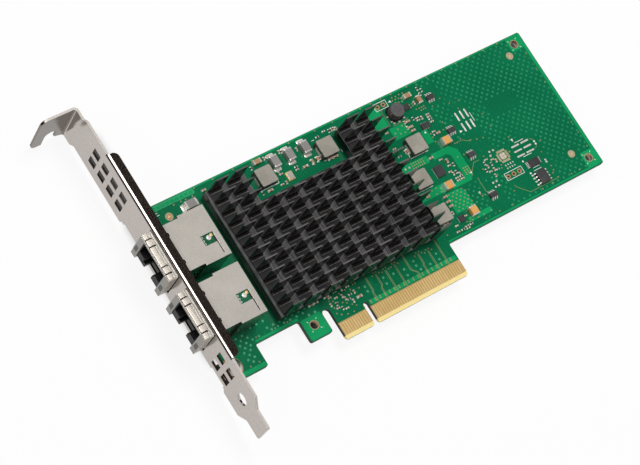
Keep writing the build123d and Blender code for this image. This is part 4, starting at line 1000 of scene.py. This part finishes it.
small_centers = [(120.78, 61.2), (120.78, 47.3), (122.28, 36.4), (120.88, 20.3)]
memory_center, clock_center = (142.15, 18.05), (142.35, 23.95)
small_rows = [(center, 3, 0.95, 0.86, "x") for center in small_centers]
small_leads = joined(bent_leads(lead_path, 0.42, 0.14, *row) for row in small_rows)
memory_leads = bent_leads(memory_path, 0.42, 0.18, memory_center, 4, 1.27, 1.95, "y")
clock_leads = bent_leads(lead_path * (1.0, 0.62), 0.24, 0.1, clock_center, 5, 0.5, 2.24, "y")
flat_pads = cushions(
    (0.5, 0.3, 0.12, facing_rows((107.68, 36.2), 7, 0.6, 1.75, "y")),
    (0.5, 0.3, 0.12, facing_rows((104.98, 18.0), 4, 0.5, 1.15, "y")),
    (0.3, 0.5, 0.12, facing_rows((112.88, 52.85), 5, 0.55, 1.1, "x")),
    (0.5, 0.7, 0.07, np.vstack([facing_rows(*row) for row in small_rows])),
    (1.2, 0.62, 0.07, facing_rows(memory_center, 4, 1.27, 2.75, "y")),
)
piece(
    "chip_leads",
    joined([small_leads, memory_leads]),
    "solder_tin",
    smooth=40,
    replaces=("regulator_chip_leads", "memory_chip_leads"),
)
piece("fine_leads", joined([clock_leads, flat_pads]), "solder_tin", smooth=40)

# Drum coil: a waist wound with wire, between two flanges
drum_low, drum_high = corners("drum_coil_winding")
drum_x, drum_y = (drum_low[:2] + drum_high[:2]) / 2
wire_radius, wire_rows, play = 0.14, 6, 0.02
climb = np.linspace(0, 1, 10 * wire_rows + 1)
bulge = wire_radius * abs(np.sin(wire_rows * math.pi * climb))
wound = (drum_high[0] - drum_low[0]) / 2 - wire_radius + bulge
wound_z = drum_low[2] + play + (drum_high[2] - drum_low[2] - 2 * play) * climb
winding = turned(np.column_stack([wound, wound_z]), 40)
piece(
    "wound_wire",
    spread(winding, [(drum_x, drum_y, 0.0)]),
    "copper_wire",
    smooth=60,
    replaces=("drum_coil_winding",),
)

# Jack lids: a solder dome, a gold pad and plated rings on the inner board below the window
jack_y = (27.8, 49.7)  # the lower and the upper jack
inner_top = corners("lower_jack_inner_board")[1][2]
domes = np.array([(left + 13.6, y - 1.45, inner_top) for y in jack_y])
dome = turned([(0.9, 0.0), (0.86, 0.12), (0.72, 0.24), (0.5, 0.31), (0.22, 0.34)], 24)
piece("jack_solder_domes", spread(dome, domes), "solder_tin", smooth=60)
gold_pads = spread(cushion(0.9, 1.1, 0.12), domes + (1.25, 0.5, 0.0))
piece("jack_gold_pads", gold_pads, "gold_plate", smooth=40)
ring_y = [y - 1.9 + dy for y in jack_y for dy in (-1.15, 0.0, 1.15)]
rings = [(left + 11.35, y, inner_top) for y in ring_y]
piece("jack_board_rings", spread(ring(0.42, 0.2, 0.0, 0.05, 16), rings), "solder_tin")

# Jack collars: a rolled strip over the mouth, cut by two sprung saddles, and ribs behind it
collar_front = corners("lower_jack_collar")[0][0]
collar_top = corners("lower_jack_collar")[1][2] - 0.35
saddle_y = 5.05
saddle_half = 1.05
slit = 0.5
collar_half = 8.5
roll = np.array([
    (0.0, -0.3), (0.0, 0.06), (0.05, 0.18), (0.16, 0.26), (0.3, 0.3), (0.8, 0.395), (1.3, 0.48),
    (1.5, 0.5), (1.62, 0.49), (1.75, 0.42), (1.82, 0.25), (1.85, -0.2),
])
rib = np.array([(0.0, -0.2), (0.03, 0.1), (0.1, 0.14), (0.6, 0.21), (0.68, 0.15), (0.7, -0.2)])
saddle = roll * (1.12, 1.1) + (0.0, 0.16)
strip_spans = [
    (-collar_half, -saddle_y - saddle_half - slit),
    (-saddle_y + saddle_half + slit, saddle_y - saddle_half - slit),
    (saddle_y + saddle_half + slit, collar_half),
]
saddle_spans = [(side * saddle_y - saddle_half, side * saddle_y + saddle_half) for side in (-1, 1)]
collar_corner = np.array((collar_front, collar_top))
collar_parts = [drawn(collar_corner + roll, low, high, 1) for low, high in strip_spans]
collar_parts += [drawn(collar_corner + saddle, low, high, 1) for low, high in saddle_spans]
rib_lines = [collar_corner + rib + (start, 0.0) for start in (2.12, 2.9)]
rib_parts = [drawn(line, -collar_half, collar_half, 1) for line in rib_lines]
jack_middles = [(0.0, y, 0.0) for y in jack_y]
springs = spread(joined(collar_parts), jack_middles)
piece("collar_springs", springs, "spring_metal", smooth=35)
ribs = spread(joined(rib_parts), jack_middles)
piece("collar_ribs", ribs, "rib_metal", smooth=35)
# Painted shade: near-black wedges fill the slits beside each saddle
slit_shape = np.array([
    (-0.03, -0.1), (2.4, -0.1), (2.4, 0.26), (1.5, 0.4), (0.3, 0.2), (-0.03, 0.0),
])
slits = [
    drawn(collar_corner + slit_shape, middle - slit / 2, middle + slit / 2, 1)
    for side in (-saddle_y, saddle_y)
    for middle in (side - saddle_half - slit / 2, side + saddle_half + slit / 2)
]
piece("collar_slits", spread(joined(slits), jack_middles), "painted_shade_black")
below_lid = lid_height - 0.33
lid_slits = [(left + 15.52, y - 4.9, below_lid) for y in jack_y]
root_y = [y + side * saddle_y for y in jack_y for side in (1, -1)]
finger_roots = [(left + 1.4, y, below_lid) for y in root_y]
# Painted shade: near-black plates just under the lid's slit and the finger roots' holes
lid_hole_shade = joined([
    spread(plate(rounded(0.7, 6.3, 0.1), 0.0, 0.02), lid_slits),
    spread(plate(circle(1.05, 24), 0.0, 0.02), finger_roots),
])
piece("lid_hole_shade", lid_hole_shade, "painted_shade_black")

# Heat sink: in front of each blade's foot a painted shadow, a thin black strip, then a thin raised
# seam painted pale as a highlight
blade_columns, blade_rows = 9, 12
blade_pitch, row_pitch, first_row = 7.7, 4.33, 0.425
blade_length, seam_gap, seam_half = 4.95, 1.2, 0.17
row, column = np.divmod(np.arange(blade_rows * blade_columns), blade_columns)
# The notch for the coils takes the last rows of the middle columns
in_notch = (column >= 2) & (column <= 6) & (row >= 9)
seam_x = ledge_end + blade_pitch * column
seam_y = sink_low[1] + first_row + row_pitch * row - seam_gap
seam_places = np.column_stack([seam_x, seam_y, np.full(len(row), sink_floor)])
seam_places = seam_places[~in_notch & (row > 0)]
turn = np.linspace(0, np.pi, 6)
seam = drawn(seam_half * np.column_stack([np.cos(turn), 0.4 * np.sin(turn)]), 0.0, blade_length, 0)
# Painted highlight: the seams are far paler than the black coat
piece("blade_seams", spread(seam, seam_places), "seam_highlight_paint", smooth=40)
# Painted shadow: a black strip between each seam and the blade's foot
foot_shadow_section = np.array([(0.0, 0.0), (seam_gap, 0.0), (seam_gap, 0.02), (0.0, 0.02)])
foot_shadow = drawn(foot_shadow_section, 0.0, blade_length, 0)
piece("blade_foot_shadows", spread(foot_shadow, seam_places), "painted_shade_black")

# Solder side: joints of the jacks' pins and legs, copper dots and vias
pin_columns = np.arange(6) * 2.04 - 5.1
pin_rows = ((4.6, 0.0), (7.2, 1.02))
jack_pins = [
    (x, y + dy + shift) for y in jack_y for x, shift in pin_rows for dy in pin_columns
]
jack_legs = [(x, y + side * 8.6) for y in jack_y for x in (2.0, 12.4) for side in (1, -1)]
joint = [(0.75, 0.0), (0.62, -0.18), (0.42, -0.45), (0.3, -0.85), (0.24, -1.15), (0.12, -1.2)]
leg_joint = [(1.3, 0.0), (1.1, -0.25), (0.8, -0.6), (0.6, -1.0), (0.45, -1.25), (0.2, -1.3)]
joints = joined([
    spread(turned(joint, 20), under_face(jack_pins)),
    spread(turned(leg_joint, 24), under_face(jack_legs)),
])
piece("solder_joints", joints, "solder_tin", smooth=60)
under_dot = plate(dot_outline, -dot_top, 0.0)
piece("under_dots", spread(under_dot, under_face(dots)), "mask_over_dots")
under_ring = ring(via_radius, via_bore, -via_top, 0.0, via_sides)
under_vias = spread(under_ring, under_face(all_vias))
piece("under_vias", under_vias, "ringed_copper")

# Floor, light and camera


def flat_sheet(name, spots, material):
    """A flat sheet by its four corners in metres."""
    mesh = bpy.data.meshes.new(name)
    mesh.from_pydata(spots, [], [(0, 1, 2, 3)])
    mesh.materials.append(material)
    obj = bpy.data.objects.new(name, mesh)
    bpy.context.scene.collection.objects.link(obj)
    return obj


def ray_kinds(tree):
    """Two values of a ray: 1 where it comes from the camera or through glass, 1 where off gloss."""
    outputs = tree.nodes.new("ShaderNodeLightPath").outputs
    kinds = ("Is Camera Ray", "Is Transmission Ray", "Is Glossy Ray")
    camera_ray, glass, gloss = (Field(tree, outputs[kind]) for kind in kinds)
    return camera_ray.either(glass), gloss


def end_tree(output, share, first, second):
    """Ends a node tree with two shaders mixed by a share."""
    both = share.node("ShaderNodeMixShader", None, {0: share, 1: first, 2: second})
    share.tree.links.new(both.socket, share.tree.nodes.new(output).inputs["Surface"])


# Painted shadows on the floor, in millimetres: x from, x to, y from, y to and the soft border. They
# lie under the board, beside the bracket, close to the bracket's plate and under the hook; there
# the floor is painted dark and does not glow.
painted_floor_shadows = [
    (-51.5, 115.2, 14.2, 70.6, 3.0),
    (-58.5, -44.5, 12.0, 105.0, 7.0),
    (-56.0, -50.5, 19.0, 98.5, 1.5),
    (-22.0, -14.0, 6.0, 16.0, 1.5),
]
white_paint = (1.0, 1.0, 1.0, 1.0)
floor_pale, floor_dark = (0.86, 0.86, 0.86), (0.08, 0.08, 0.08)
floor_glow = 0.9
sky_fill = 0.39

floor_paint = bpy.data.materials.new("floor_paint")
floor_paint.use_nodes = True
tree = floor_paint.node_tree
tree.nodes.clear()
spot = Field(tree, tree.nodes.new("ShaderNodeTexCoord").outputs["Object"])
x, y = spot.axis("X"), spot.axis("Y")
shadow_patches = [
    x.within(x0, x1, soft) * y.within(y0, y1, soft) for x0, x1, y0, y1, soft in painted_floor_shadows
]
painted_shadow = reduce(Field.either, shadow_patches)
# Gloss that looks to the far left sees the floor dark
sheet_end = x.over(-100.0, -80.0)
straight, gloss = ray_kinds(tree)
# The floor's paint turns dark in the painted shadows, and for gloss at the far left
paint = painted_shadow.either(gloss * (1 - sheet_end)).colour(floor_pale, floor_dark)
matt = painted_shadow.node("ShaderNodeBsdfDiffuse", None, {"Color": paint})
glow = painted_shadow.node("ShaderNodeEmission", None, {"Color": white_paint, "Strength": 1.0})
share = straight.either(gloss * sheet_end) * floor_glow * (1 - painted_shadow)
end_tree("ShaderNodeOutputMaterial", share, matt, glow)
reach, floor_z = 4.0, cad_box[0][2]
floor_spots = [(-reach, -reach), (reach, -reach), (reach, reach), (-reach, reach)]
floor = flat_sheet("floor", [(*corner, floor_z) for corner in floor_spots], floor_paint)

world = bpy.data.worlds.new("studio")
bpy.context.scene.world = world
world.use_nodes = True
world.node_tree.nodes.clear()
straight, gloss = ray_kinds(world.node_tree)
fill, sheet = (
    straight.node("ShaderNodeBackground", None, {"Color": white_paint, "Strength": strength})
    for strength in (sky_fill, 1.0)
)
end_tree("ShaderNodeOutputWorld", straight.either(gloss), fill, sheet)

# Dark cards that only gloss sees; they give flat metal and mask a dark side to mirror
cards = {
    "overhead_flag": [(0.06, -0.16, 0.6), (0.85, -0.16, 0.6), (0.85, 0.5, 0.6), (0.06, 0.5, 0.6)],
    "left_flag": [(-0.56, -0.5, 0.0), (-0.56, 0.6, 0.0), (-0.56, 0.6, 0.36), (-0.56, -0.5, 0.36)],
}
for name, spots in cards.items():
    card = flat_sheet(name, spots, finishes["dark_card"])
    card.visible_camera = False
    card.visible_diffuse = False
    card.visible_shadow = False


def softbox(name, place, size, power, hidden_from=""):
    """A soft light at a place in metres, facing the card's middle; size is its width and height.

    hidden_from names the kind of surface, diffuse or glossy, that it leaves out."""
    lamp = bpy.data.lights.new(name, "AREA")
    lamp.shape = "RECTANGLE"
    lamp.size, lamp.size_y = size
    lamp.energy = power
    obj = bpy.data.objects.new(name, lamp)
    away = np.array(place) - card_middle
    away /= np.linalg.norm(away)
    side = np.cross((0.0, 0.0, 1.0), away)
    side /= np.linalg.norm(side)
    turn = Matrix(np.column_stack([side, np.cross(away, side), away]).tolist()).to_4x4()
    turn.translation = place
    obj.matrix_world = turn
    obj.visible_diffuse = hidden_from != "diffuse"
    obj.visible_glossy = hidden_from != "glossy"
    bpy.context.scene.collection.objects.link(obj)


card_middle = np.array((0.02, 0.045, 0.0))
softbox("key", (0.14, 0.16, 0.74), (0.3, 0.3), 3.7, "glossy")
softbox("gloss_key", (-0.33, 0.26, 0.70), (0.4, 0.4), 4.85, "diffuse")
softbox("edge_strip", (-0.48, 0.10, 0.42), (0.6, 0.1), 0.5)

camera = bpy.data.cameras.new("camera")
camera.sensor_width = 36.0
camera.lens = 121.937
camera.clip_start = 0.01
viewer = bpy.data.objects.new("camera", camera)
bpy.context.scene.collection.objects.link(viewer)
# The camera's own axes and place, from the fit
right = (0.788146, -0.524118, 0.322685)
up = (0.397360, 0.833668, 0.383541)
behind = (-0.470033, -0.174064, 0.865315)
pose = Matrix(np.column_stack([right, up, behind]).tolist()).to_4x4()
pose.translation = (-0.338651, -0.089364, 0.623789)
viewer.matrix_world = pose
bpy.context.scene.camera = viewer
bpy.context.scene.view_settings.view_transform = "Standard"
